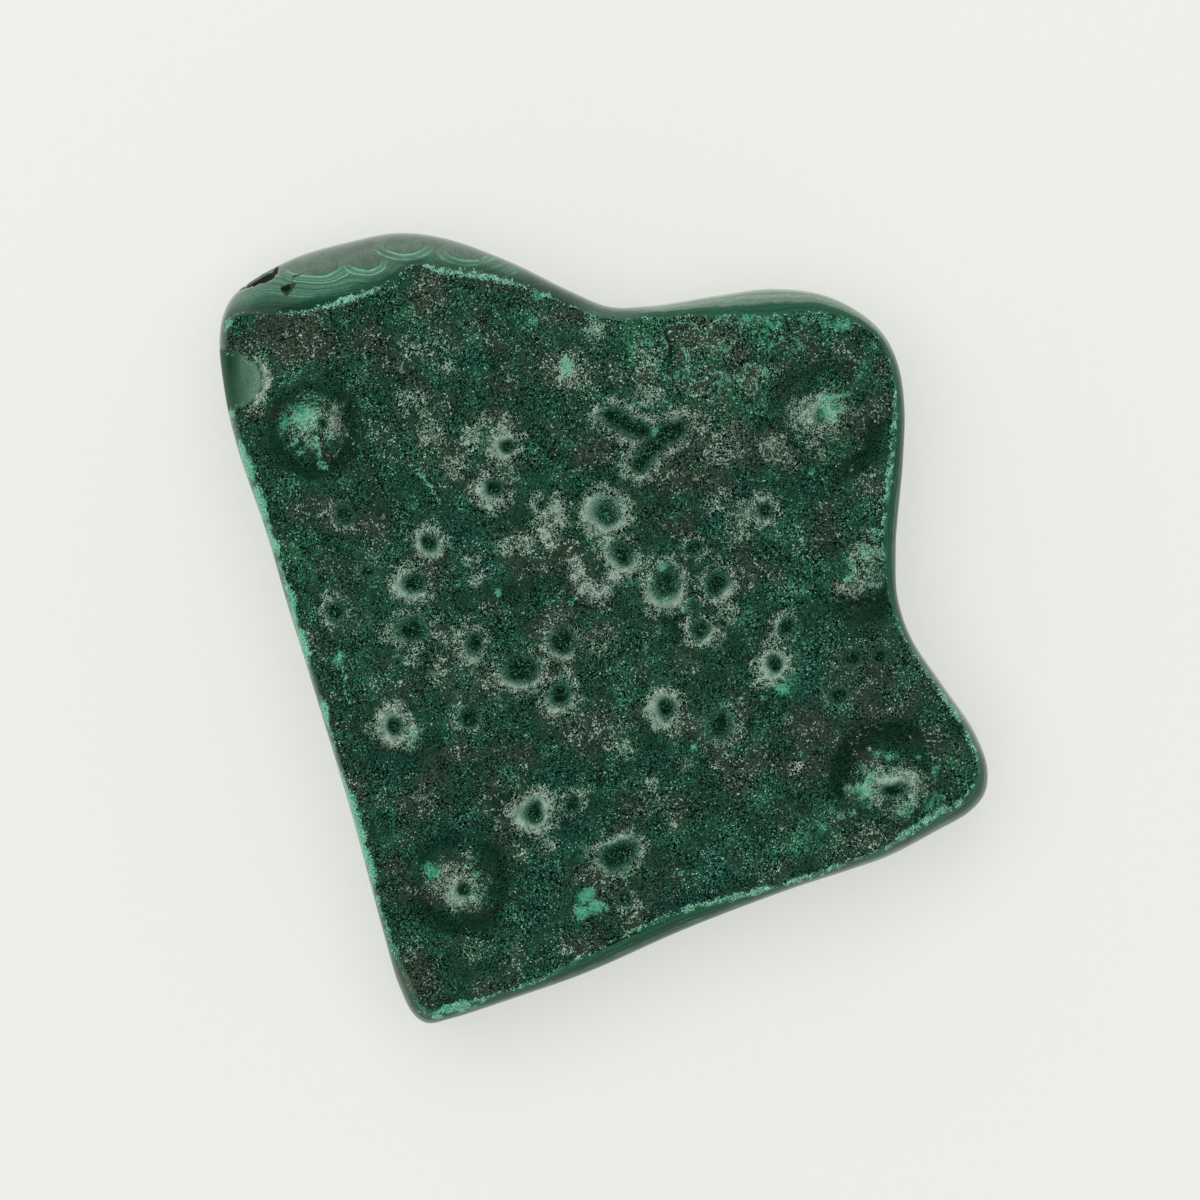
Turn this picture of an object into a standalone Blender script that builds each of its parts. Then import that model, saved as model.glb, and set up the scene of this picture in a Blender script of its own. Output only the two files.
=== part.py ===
"""Malachite freeform slab: one stone, polished round its sides and back, natural and knobby on top.

Lengths are in millimetres until the mesh is finished, and +Z points up, away from the flat back.
The stone is widest along OUTLINE. From there a polished rim rises inwards to the natural face,
and a rounded side runs down and in to the flat back that it rests on.
"""

import math

import bmesh
import bpy
import numpy as np

MM = 0.001

NODE = "malachite"

# The widest outline, clockwise seen from above: x, y and the width in plan of the polished rim there.
OUTLINE = (
    (-64.0, 47.1, 1.5),
    (-63.4, 52.1, 2.5),
    (-61.8, 55.3, 5.3),
    (-58.6, 57.9, 7.3),
    (-51.6, 61.8, 9.7),
    (-43.1, 64.3, 9.5),
    (-34.3, 65.9, 8.0),
    (-26.3, 64.9, 6.0),
    (-15.6, 61.0, 3.5),
    (-5.6, 56.1, 2.3),
    (1.0, 53.5, 2.2),
    (7.7, 53.6, 2.2),
    (19.2, 55.4, 3.7),
    (27.9, 56.5, 4.7),
    (36.0, 55.6, 3.3),
    (41.7, 53.1, 2.2),
    (46.4, 49.1, 1.5),
    (49.0, 43.9, 1.5),
    (50.1, 36.8, 1.7),
    (49.9, 28.3, 2.2),
    (48.7, 13.8, 2.3),
    (49.0, 4.9, 1.5),
    (51.2, -1.7, 1.2),
    (56.5, -9.6, 1.0),
    (61.7, -17.2, 1.3),
    (63.9, -23.4, 1.8),
    (63.5, -27.6, 2.7),
    (61.0, -30.7, 2.5),
    (55.2, -34.1, 2.5),
    (47.7, -38.0, 1.8),
    (41.4, -40.2, 1.5),
    (30.7, -43.7, 1.2),
    (14.0, -50.1, 3.2),
    (-3.1, -57.6, 2.8),
    (-14.0, -61.4, 1.5),
    (-25.6, -65.2, 2.5),
    (-29.3, -65.9, 2.2),
    (-31.5, -64.6, 2.2),
    (-34.1, -59.6, 2.3),
    (-36.6, -51.0, 1.2),
    (-42.0, -30.9, 1.0),
    (-48.6, -9.1, 1.0),
    (-52.9, 4.7, 1.2),
    (-56.1, 15.7, 1.2),
    (-60.8, 29.4, 1.2),
    (-63.1, 38.7, 1.3),
)
# Where the outline turns its four corners: top left, top right, bottom right and bottom left.
CORNERS = ((-61.8, 55.3), (46.4, 49.1), (63.5, -27.6), (-31.5, -64.6))

# Thickness from the back to the natural face, before its relief.
FACE_HEIGHT = 27.0
# How far the rim drops from the natural face to the widest outline, and how much more for each mm of width.
RIM_DROP = 4.2
RIM_DROP_PER_WIDTH = 0.75
# Where the rim's rounding starts at the seam, in degrees: 0 would make it level there, and 90 upright.
RIM_START_ANGLE = 28.0
# How far the back's edge lies inside the widest outline, and how square the side is on its way there.
BACK_INSET = 5.5
SIDE_SQUARENESS = 0.72

# Broad swells of the natural face: x, y, height and radius.
SWELLS = (
    (-8.0, 14.0, 0.9, 20.0),
    (22.0, -14.0, 0.6, 16.0),
    (-24.0, -12.0, 0.5, 14.0),
    (-20.0, 42.0, -0.6, 16.0),
    (4.0, -36.0, -0.5, 14.0),
)
# Large knobs, each in its own moat: x, y, knob height and radius, moat depth and radius.
KNOBS = (
    (-48.1, 32.9, 2.1, 4.4, 1.5, 6.9),
    (36.9, 33.8, 2.4, 5.0, 1.7, 8.2),
    (42.7, 9.6, 1.7, 3.8, 1.2, 6.2),
    (48.5, -26.3, 2.0, 4.6, 2.0, 8.2),
    (-24.0, -42.9, 2.1, 4.8, 1.8, 7.4),
)
# Width of a moat, as a share of its radius.
MOAT_WIDTH = 0.3
# The polished scoop that runs out over the left edge: x, y, half width, half length and depth.
SCOOP = (-64.2, 41.0, 8.8, 6.4, 3.2)

# Mesh density: cells along the face's top edge and left edge, and rings on the rim and the side.
CELLS_ACROSS = 44
CELLS_DOWN = 42
RIM_RINGS = 4
SIDE_RINGS = 5
# Points on each stretch of the outline between two of its given points.
STEPS_PER_STRETCH = 16
# The inward direction is averaged over this length of outline, so that tight corners don't fold.
TURN_SMOOTHING = 6.0

DEEP_GREEN = (0.012, 0.085, 0.05, 1.0)
STONE_ROUGHNESS = 0.35


def clear_scene():
    for item in list(bpy.data.objects):
        bpy.data.objects.remove(item, do_unlink=True)


def smooth_outline():
    """Points along a closed centripetal Catmull-Rom curve through OUTLINE, as rows of x, y, rim width."""
    given = np.array(OUTLINE)
    count = len(given)
    points = []
    for index in range(count):
        knots = [given[(index + offset) % count] for offset in (-1, 0, 1, 2)]
        times = [0.0]
        for start, end in zip(knots, knots[1:]):
            times.append(times[-1] + math.dist(start[:2], end[:2]) ** 0.5)
        for step in range(STEPS_PER_STRETCH):
            moment = times[1] + (times[2] - times[1]) * step / STEPS_PER_STRETCH
            level = knots
            for degree in (1, 2, 3):
                level = [
                    blend(level[i], level[i + 1], *blend_span(times, i, degree), moment)
                    for i in range(len(level) - 1)
                ]
            points.append(level[0])
    return np.array(points)


def blend_span(times, index, degree):
    """The two knot times between which one step of the Catmull-Rom pyramid blends."""
    if degree == 3:
        return times[1], times[2]
    return times[index], times[index + degree]


def blend(first, second, start, end, moment):
    share = (moment - start) / (end - start)
    return first * (1.0 - share) + second * share


def centred(outline):
    """The outline moved so that its box is centred on the origin, and the shift that did it."""
    shift = (outline[:, :2].min(axis=0) + outline[:, :2].max(axis=0)) / 2.0
    moved = outline.copy()
    moved[:, :2] -= shift
    return moved, shift


def lengths_along(points):
    """Distance from the first point to each point of a closed line, and once round to the start."""
    closed = np.vstack([points, points[:1]])
    return np.concatenate([[0.0], np.cumsum(np.linalg.norm(np.diff(closed, axis=0), axis=1))])


def read_round(values, lengths, where):
    """Values given at the points of a closed line, read at any lengths along it."""
    closed = np.vstack([values, values[:1]])
    where = np.mod(where, lengths[-1])
    return np.column_stack([np.interp(where, lengths, column) for column in closed.T])


def perimeter_stations(outline, lengths, corners):
    """Lengths along the outline of the face's perimeter vertices, evenly spread on its four edges."""
    starts = []
    for corner in corners:
        nearest = np.argmin(np.linalg.norm(outline[:, :2] - corner, axis=1))
        starts.append(lengths[nearest])
    ends = starts[1:] + [starts[0] + lengths[-1]]
    cells = (CELLS_ACROSS, CELLS_DOWN, CELLS_ACROSS, CELLS_DOWN)
    stations = [
        start + (end - start) * np.arange(cell_count) / cell_count
        for start, end, cell_count in zip(starts, ends, cells)
    ]
    return np.concatenate(stations)


class Rim:
    """The outline at each perimeter station: its place, its inward direction and the rim's width."""

    def __init__(self):
        outline, self.shift = centred(smooth_outline())
        lengths = lengths_along(outline[:, :2])
        corners = np.array(CORNERS) - self.shift
        stations = perimeter_stations(outline, lengths, corners)
        rows = read_round(outline, lengths, stations)
        self.place = rows[:, :2]
        self.width = np.maximum(rows[:, 2], 0.0)
        ahead = read_round(outline[:, :2], lengths, stations + TURN_SMOOTHING / 2.0)
        behind = read_round(outline[:, :2], lengths, stations - TURN_SMOOTHING / 2.0)
        along = ahead - behind
        along /= np.linalg.norm(along, axis=1, keepdims=True)
        self.inward = np.column_stack([along[:, 1], -along[:, 0]])

    def inset(self, distance):
        """Perimeter places moved inwards by a distance, one for all stations or one for each."""
        return self.place + self.inward * np.reshape(distance, (-1, 1))


def face_heights(places, shift):
    """Height of the natural face at each place, with its swells, knobs, moats and scoop."""
    x, y = (places + shift).T
    height = np.full(len(places), FACE_HEIGHT)
    for centre_x, centre_y, rise, radius in SWELLS:
        height += rise * np.exp(-((x - centre_x) ** 2 + (y - centre_y) ** 2) / radius**2)
    for centre_x, centre_y, rise, radius, depth, moat_radius in KNOBS:
        away = np.hypot(x - centre_x, y - centre_y)
        height += rise * np.exp(-((away / radius) ** 2))
        height -= depth * np.exp(-(((away - moat_radius) / (MOAT_WIDTH * moat_radius)) ** 2))
    centre_x, centre_y, half_width, half_length, depth = SCOOP
    reach = ((x - centre_x) / half_width) ** 2 + ((y - centre_y) / half_length) ** 2
    height -= depth * np.maximum(1.0 - reach, 0.0)
    return height


def rim_profile(share, width, drop):
    """Inset and fall of the rim at a share of its way down: an ellipse cut off at RIM_START_ANGLE."""
    start = math.radians(RIM_START_ANGLE)
    angle = start + (math.pi / 2.0 - start) * share
    inset = width * (1.0 - math.sin(angle)) / (1.0 - math.sin(start))
    fall = drop * (1.0 - math.cos(angle) / math.cos(start))
    return inset, fall


def side_profile(share, height):
    """Inset and height of the side at a share of its way down to the back: a squared ellipse."""
    angle = math.pi / 2.0 * share
    inset = BACK_INSET * (1.0 - abs(math.cos(angle)) ** SIDE_SQUARENESS)
    return inset, height * (1.0 - math.sin(angle) ** SIDE_SQUARENESS)


def coons_places(edge):
    """Places of the face's grid vertices, spread between the four edges of its perimeter."""
    across, down = CELLS_ACROSS, CELLS_DOWN
    top = edge[: across + 1]
    right = edge[across : across + down + 1]
    bottom = edge[across + down : 2 * across + down + 1][::-1]
    left = np.vstack([edge[2 * across + down :], edge[:1]])[::-1]
    places = np.zeros((down + 1, across + 1, 2))
    for row in range(down + 1):
        v = row / down
        for column in range(across + 1):
            u = column / across
            between_edges = (1 - v) * top[column] + v * bottom[column]
            between_edges = between_edges + (1 - u) * left[row] + u * right[row]
            between_corners = (1 - v) * ((1 - u) * top[0] + u * top[-1])
            between_corners = between_corners + v * ((1 - u) * bottom[0] + u * bottom[-1])
            places[row, column] = between_edges - between_corners
    return places


def perimeter_index(row, column):
    """Position of a grid vertex in the clockwise perimeter, or None for one inside the face."""
    across, down = CELLS_ACROSS, CELLS_DOWN
    if row == 0:
        return column
    if column == across:
        return across + row
    if row == down:
        return 2 * across + down - column
    if column == 0:
        return 2 * (across + down) - row
    return None


def add_face(mesh, rim, station):
    """Adds the natural face, a grid fitted to the rim's inner edge, and numbers its perimeter vertices."""
    places = coons_places(rim.inset(rim.width))
    heights = face_heights(places.reshape(-1, 2), rim.shift).reshape(places.shape[:2])
    grid = bmesh.ops.create_grid(mesh, x_segments=CELLS_ACROSS, y_segments=CELLS_DOWN, size=0.5)["verts"]
    seam_height = np.zeros(2 * (CELLS_ACROSS + CELLS_DOWN))
    for vertex in grid:
        column = round((vertex.co.x + 0.5) * CELLS_ACROSS)
        row = round((0.5 - vertex.co.y) * CELLS_DOWN)
        vertex.co = (*places[row, column], heights[row, column])
        index = perimeter_index(row, column)
        if index is not None:
            vertex[station] = index
            seam_height[index] = heights[row, column]
    return seam_height


def extrude_ring(mesh, station, edges, places, heights):
    """Extrudes the open ring of edges and moves the new ring to its places and heights. Returns its edges."""
    grown = bmesh.ops.extrude_edge_only(mesh, edges=edges)["geom"]
    corners = {item for item in grown if isinstance(item, bmesh.types.BMVert)}
    for corner in corners:
        index = corner[station]
        corner.co = (*places[index], heights[index])
    return [
        item
        for item in grown
        if isinstance(item, bmesh.types.BMEdge) and corners.issuperset(item.verts)
    ]


def build_stone():
    """Builds the stone as one closed mesh: the face, the rim, the side and the back."""
    mesh = bmesh.new()
    station = mesh.verts.layers.int.new("station")
    rim = Rim()
    seam_height = add_face(mesh, rim, station)
    drop = RIM_DROP + RIM_DROP_PER_WIDTH * rim.width
    ring = [edge for edge in mesh.edges if edge.is_boundary]
    for step in range(1, RIM_RINGS + 1):
        inset, fall = rim_profile(step / RIM_RINGS, rim.width, drop)
        ring = extrude_ring(mesh, station, ring, rim.inset(inset), seam_height - fall)
    for step in range(1, SIDE_RINGS + 1):
        inset, height = side_profile(step / SIDE_RINGS, seam_height - drop)
        ring = extrude_ring(mesh, station, ring, rim.inset(inset), height)
    bmesh.ops.contextual_create(mesh, geom=ring)
    bmesh.ops.recalc_face_normals(mesh, faces=mesh.faces[:])
    bmesh.ops.scale(mesh, vec=(MM, MM, MM), verts=mesh.verts[:])
    return mesh


def polished_malachite():
    """Deep green, softly polished stone."""
    material = bpy.data.materials.new("malachite_stone")
    material.use_nodes = True
    shader = material.node_tree.nodes["Principled BSDF"]
    shader.inputs["Base Color"].default_value = DEEP_GREEN
    shader.inputs["Roughness"].default_value = STONE_ROUGHNESS
    shader.inputs["Metallic"].default_value = 0.0
    return material


def main():
    clear_scene()
    mesh = build_stone()
    data = bpy.data.meshes.new(NODE)
    mesh.to_mesh(data)
    mesh.free()
    data.shade_smooth()
    data.materials.append(polished_malachite())
    stone = bpy.data.objects.new(NODE, data)
    bpy.context.scene.collection.objects.link(stone)


main()
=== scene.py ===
"""Looks of a polished freeform slab of malachite: its fine relief, its stone and the studio round it.

Lengths inside the classes are in millimetres, as a stone cutter would note them. They become metres
when a mesh or a material is made. The slab's outline, rim and large knobs repeat those of the CAD solid.
"""

import logging
import math
from dataclasses import dataclass, field
from functools import partialmethod

import bpy
import numpy as np
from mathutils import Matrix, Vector
from mathutils.kdtree import KDTree


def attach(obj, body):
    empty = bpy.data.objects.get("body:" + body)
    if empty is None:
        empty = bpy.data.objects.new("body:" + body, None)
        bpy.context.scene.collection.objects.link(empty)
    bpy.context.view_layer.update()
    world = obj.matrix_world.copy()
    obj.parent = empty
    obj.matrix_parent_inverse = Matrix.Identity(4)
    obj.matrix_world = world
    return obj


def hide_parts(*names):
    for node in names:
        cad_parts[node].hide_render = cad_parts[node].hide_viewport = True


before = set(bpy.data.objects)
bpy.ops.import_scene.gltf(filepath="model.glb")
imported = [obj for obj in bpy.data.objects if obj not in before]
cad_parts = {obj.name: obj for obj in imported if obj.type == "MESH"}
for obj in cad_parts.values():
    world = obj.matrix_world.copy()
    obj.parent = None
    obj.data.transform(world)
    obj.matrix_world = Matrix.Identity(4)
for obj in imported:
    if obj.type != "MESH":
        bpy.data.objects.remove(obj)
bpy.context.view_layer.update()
LOG = logging.getLogger("malachite_slab")
MM = 0.001


# ----------------------------------------------------------------------------------------------
# Small helpers of shape


def smooth_step(values: np.ndarray, low: float, high: float) -> np.ndarray:
    """Rises smoothly from 0 at low to 1 at high.

    Args:
        values: numbers to read.
        low: where the rise starts.
        high: where it ends.

    Returns:
        One number from 0 to 1 for each value.
    """
    share = np.clip((values - low) / (high - low), 0.0, 1.0)
    return share * share * (3.0 - 2.0 * share)


def bell(away: np.ndarray, width: float) -> np.ndarray:
    """1 at no distance, falling off to both sides over a width."""
    return np.exp(-((away / width) ** 2))


def axes(degrees: float, x: np.ndarray, y: np.ndarray) -> tuple[np.ndarray, np.ndarray]:
    """Offsets read along a direction and square to it."""
    turn = math.radians(degrees)
    return x * math.cos(turn) + y * math.sin(turn), y * math.cos(turn) - x * math.sin(turn)


@dataclass(frozen=True)
class Plan:
    """Places of the slab as seen from above, in mm."""

    x: np.ndarray
    y: np.ndarray

    def lumps(self, size: float, seed: int) -> np.ndarray:
        """Smooth random lumps over the plan.

        Args:
            size: distance between neighbouring lumps, in mm.
            seed: number that settles the lumps and the turn of their lattice.

        Returns:
            Heights between -1 and 1.
        """
        reach, turn_per_seed = 110.0, 0.7
        turn = seed * turn_per_seed
        across = (self.x * math.cos(turn) - self.y * math.sin(turn) + reach) / size
        up = (self.x * math.sin(turn) + self.y * math.cos(turn) + reach) / size
        count = int(2.0 * reach / size) + 3
        lattice = np.random.default_rng(seed).uniform(-1.0, 1.0, (count, count))
        column = np.clip(across.astype(int), 0, count - 2)
        row = np.clip(up.astype(int), 0, count - 2)
        share_x = smooth_step(across - column, 0.0, 1.0)
        share_y = smooth_step(up - row, 0.0, 1.0)
        low = lattice[row, column] * (1 - share_x) + lattice[row, column + 1] * share_x
        high = lattice[row + 1, column] * (1 - share_x) + lattice[row + 1, column + 1] * share_x
        return low * (1 - share_y) + high * share_y

    def wavy(self) -> "Plan":
        """Places pushed about a little, so that what is drawn on them as a circle grows uneven."""
        push_x = 0.5 * self.lumps(3.7, 21) + 0.3 * self.lumps(1.9, 22)
        push_y = 0.5 * self.lumps(3.7, 23) + 0.3 * self.lumps(1.9, 24)
        return Plan(self.x + push_x, self.y + push_y)

    def from_run(self, run: tuple[float, float, float, float]) -> np.ndarray:
        """Distance of each place from a straight run, given by the X and Y of its two ends."""
        start_x, start_y, end_x, end_y = run
        run_x, run_y = end_x - start_x, end_y - start_y
        along = (self.x - start_x) * run_x + (self.y - start_y) * run_y
        along = np.clip(along / (run_x**2 + run_y**2), 0.0, 1.0)
        return np.hypot(self.x - start_x - along * run_x, self.y - start_y - along * run_y)


@dataclass(frozen=True)
class Spot:
    """Anything that lies round a middle on the slab, in mm."""

    x: float
    y: float

    def away(self, plan: Plan) -> np.ndarray:
        """Distance of each place from its middle."""
        return np.hypot(plan.x - self.x, plan.y - self.y)

    def direction(self, plan: Plan) -> np.ndarray:
        """Direction of each place from its middle, in radians."""
        return np.arctan2(plan.y - self.y, plan.x - self.x)


@dataclass(frozen=True)
class Swell(Spot):
    """A broad rise or dip of the natural face, in mm."""

    rise: float
    radius: float

    def height(self, plan: Plan) -> np.ndarray:
        """Height that it adds at each place."""
        return self.rise * bell(self.away(plan), self.radius)


@dataclass(frozen=True)
class Knob(Swell):
    """A large growth knob in its own moat, in mm."""

    moat_depth: float
    moat_radius: float
    moat_width: float = 0.3

    def height(self, plan: Plan) -> np.ndarray:
        """Height that it adds at each place."""
        moat = bell(self.away(plan) - self.moat_radius, self.moat_width * self.moat_radius)
        return super().height(plan) - self.moat_depth * moat


@dataclass(frozen=True)
class Crater(Spot):
    """A small knob with a pit in its top: radii in mm, gloss from 0 to 1, directions in degrees. Its gloss
    raises the rim and sets how strong the painted sheen on it is; lean is the direction of the rim's side
    with the brightest painted sheen.
    """

    pit: float
    rim: float
    gloss: float
    lean: float = 0.0
    bias: float = 0.0
    stretch: float = 1.0
    turn: float = 0.0
    depth: float = 1.0

    def away(self, plan: Plan) -> np.ndarray:
        """Distance of each place from its middle, as if it were round."""
        along, beside = axes(self.turn, plan.x - self.x, plan.y - self.y)
        return np.hypot(along / self.stretch, beside)

    def crest(self, plan: Plan) -> np.ndarray:
        """How near each place is to the crest of the rim, from 0 to 1, more on the side it leans to."""
        away = self.away(plan)
        middle = 0.5 * (self.pit + self.rim)
        span = self.rim - self.pit
        width = np.where(away < middle, 0.78 * span, (0.84 + 0.4 * plan.lumps(2.4, 41)) * span)
        ring = np.exp(-np.abs((away - middle) / width) ** 1.7)
        side = 0.5 + 0.5 * np.cos(self.direction(plan) - math.radians(self.lean))
        return ring * (1.0 - self.bias * (1.0 - side))

    def bowl(self, plan: Plan) -> np.ndarray:
        """How deep each place is in the pit, from 0 to 1."""
        return bell(self.away(plan), self.pit)

    def trough(self, plan: Plan) -> np.ndarray:
        """How near each place is to the low ring outside the rim, from 0 to 1."""
        return bell(self.away(plan) - 1.45 * self.rim, 0.34 * self.rim)

    def height(self, plan: Plan) -> np.ndarray:
        """Height that it adds at each place."""
        raised = (0.3 + 0.4 * self.gloss) * self.crest(plan) - 0.3 * self.gloss * self.trough(plan)
        return raised - self.depth * (0.75 + 0.45 * self.gloss) * self.bowl(plan)


@dataclass(frozen=True)
class Valley:
    """A branching pit: its runs between two places each, with the rim that goes round them all, in mm."""

    runs: tuple[tuple[float, float, float, float], ...]
    half_width: float
    gloss: float
    depth: float = 1.0

    def away(self, plan: Plan) -> np.ndarray:
        """Distance of each place from the nearest run, in half widths."""
        return np.minimum.reduce([plan.from_run(run) for run in self.runs]) / self.half_width

    def crest(self, plan: Plan) -> np.ndarray:
        """How near each place is to the crest of the rim, from 0 to 1."""
        return np.exp(-(np.abs((self.away(plan) - 1.75) / 0.75) ** 1.7))

    def bowl(self, plan: Plan) -> np.ndarray:
        """How deep each place is in the pit, from 0 to 1."""
        return bell(self.away(plan), 1.0)

    def trough(self, plan: Plan) -> np.ndarray:
        """How near each place is to the low ring outside the rim, from 0 to 1."""
        return bell(self.away(plan) - 3.2, 0.7)

    def height(self, plan: Plan) -> np.ndarray:
        """Height that it adds at each place."""
        return 0.5 * self.crest(plan) - self.depth * self.bowl(plan)


@dataclass(frozen=True)
class Vein:
    """A thin straight vein between two places, in mm, with its strength from 0 to 1."""

    start_x: float
    start_y: float
    end_x: float
    end_y: float
    radius: float
    strength: float

    def cover(self, plan: Plan) -> np.ndarray:
        """How much of it shows at each place."""
        run = (self.start_x, self.start_y, self.end_x, self.end_y)
        return self.strength * bell(plan.from_run(run), self.radius)


@dataclass(frozen=True)
class Patch(Spot):
    """A soft round patch of the face, in mm, with its strength from 0 to 1."""

    radius: float
    strength: float

    def cover(self, plan: Plan) -> np.ndarray:
        """How much of it shows at each place."""
        return self.strength * bell(self.away(plan), self.radius)


@dataclass(frozen=True)
class Dusk(Spot):
    """A painted shade: a dark smooth arc round a middle, in mm, with its own direction and its reach in
    degrees.
    """

    radius: float
    width: float
    strength: float
    towards: float = 0.0
    reach: float = 360.0

    def cover(self, plan: Plan) -> np.ndarray:
        """How much of it shows at each place."""
        turn = np.degrees(self.direction(plan)) - self.towards
        turn = np.abs((turn + 180.0) % 360.0 - 180.0)
        ring = bell(self.away(plan) - self.radius, self.width)
        return self.strength * ring * smooth_step(self.reach - turn, -20.0, 20.0)


@dataclass(frozen=True)
class Cavity(Spot):
    """A small natural hollow in the polished rim, in mm, with the direction of its length in degrees."""

    z: float
    turn: float
    half_length: float
    half_height: float
    depth: float

    def cover(self, place: np.ndarray) -> np.ndarray:
        """How deep each place lies in it, from 0 to 1."""
        along, beside = axes(self.turn, place[:, 0] - self.x, place[:, 1] - self.y)
        along = along / self.half_length
        up = (place[:, 2] - self.z - 0.5 * along) / self.half_height
        near = smooth_step(3.0 - np.abs(beside), 0.0, 1.0)
        return near * np.clip(1.0 - along**2 - up**2, 0.0, 1.0) ** 0.5


def most(marks: tuple["Patch | Dusk | Vein", ...], plan: Plan) -> np.ndarray:
    """The strongest of several marks at each place."""
    return np.maximum.reduce([mark.cover(plan) for mark in marks])


def each(kind: type, *rows: tuple) -> tuple:
    """One object of a kind for each row of its sizes, which are in the order of its fields."""
    return tuple(kind(*row) for row in rows)


# ----------------------------------------------------------------------------------------------
# The slab's own places

# The widest outline, clockwise from above: x, y, the rim's width, the strength of the mint crust there
# and how much the polished stone gleams.
OUTLINE = (
    (-64.0, 47.1, 1.5, 0.1, 0.7), (-63.4, 52.1, 2.5, 0.5, 0.85), (-61.8, 55.3, 5.3, 0.1, 1.0),
    (-58.6, 57.9, 7.3, 0.2, 0.8), (-51.6, 61.8, 9.7, 0.85, 0.9), (-43.1, 64.3, 9.5, 0.9, 0.9),
    (-34.3, 65.9, 8.0, 0.1, 0.9), (-26.3, 64.9, 6.0, 1.0, 0.85), (-15.6, 61.0, 3.5, 0.8, 0.8),
    (-5.6, 56.1, 2.3, 0.35, 0.8), (1.0, 53.5, 2.2, 0.3, 1.0), (7.7, 53.6, 2.2, 0.1, 1.0),
    (19.2, 55.4, 3.7, 0.1, 1.0), (27.9, 56.5, 4.7, 0.1, 1.0), (36.0, 55.6, 3.3, 0.4, 0.8),
    (41.7, 53.1, 2.2, 0.3, 0.6), (46.4, 49.1, 1.5, 0.1, 0.4), (49.0, 43.9, 1.5, 0.2, 0.25),
    (50.1, 36.8, 1.7, 0.55, 0.1), (49.9, 28.3, 2.2, 0.7, 0.08), (48.7, 13.8, 2.3, 0.5, 0.08),
    (49.0, 4.9, 1.5, 0.2, 0.1), (51.2, -1.7, 1.2, 0.3, 0.35), (56.5, -9.6, 1.0, 0.5, 0.8),
    (61.7, -17.2, 1.3, 0.7, 0.9), (63.9, -23.4, 1.8, 0.3, 0.4), (63.5, -27.6, 2.7, 0.4, 0.45),
    (61.0, -30.7, 2.5, 0.6, 0.5), (55.2, -34.1, 2.5, 1.0, 0.5), (47.7, -38.0, 1.8, 0.5, 0.5),
    (41.4, -40.2, 1.5, 0.5, 0.4), (30.7, -43.7, 1.2, 0.7, 0.3), (14.0, -50.1, 3.2, 0.6, 0.22),
    (-3.1, -57.6, 2.8, 0.4, 0.25), (-14.0, -61.4, 1.5, 0.4, 0.25), (-25.6, -65.2, 2.5, 0.8, 0.25),
    (-29.3, -65.9, 2.2, 0.4, 0.4), (-31.5, -64.6, 2.2, 0.2, 0.4), (-34.1, -59.6, 2.3, 0.2, 0.4),
    (-36.6, -51.0, 1.2, 0.35, 0.2), (-42.0, -30.9, 1.0, 0.4, 0.2), (-48.6, -9.1, 1.0, 0.35, 0.2),
    (-52.9, 4.7, 1.2, 0.4, 0.25), (-56.1, 15.7, 1.2, 0.4, 0.25), (-60.8, 29.4, 1.2, 0.35, 0.3),
    (-63.1, 38.7, 1.3, 0.1, 0.5),
)
# Where the outline turns its four corners: top left, top right, bottom right and bottom left.
CORNERS = ((-61.8, 55.3), (46.4, 49.1), (63.5, -27.6), (-31.5, -64.6))

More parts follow.
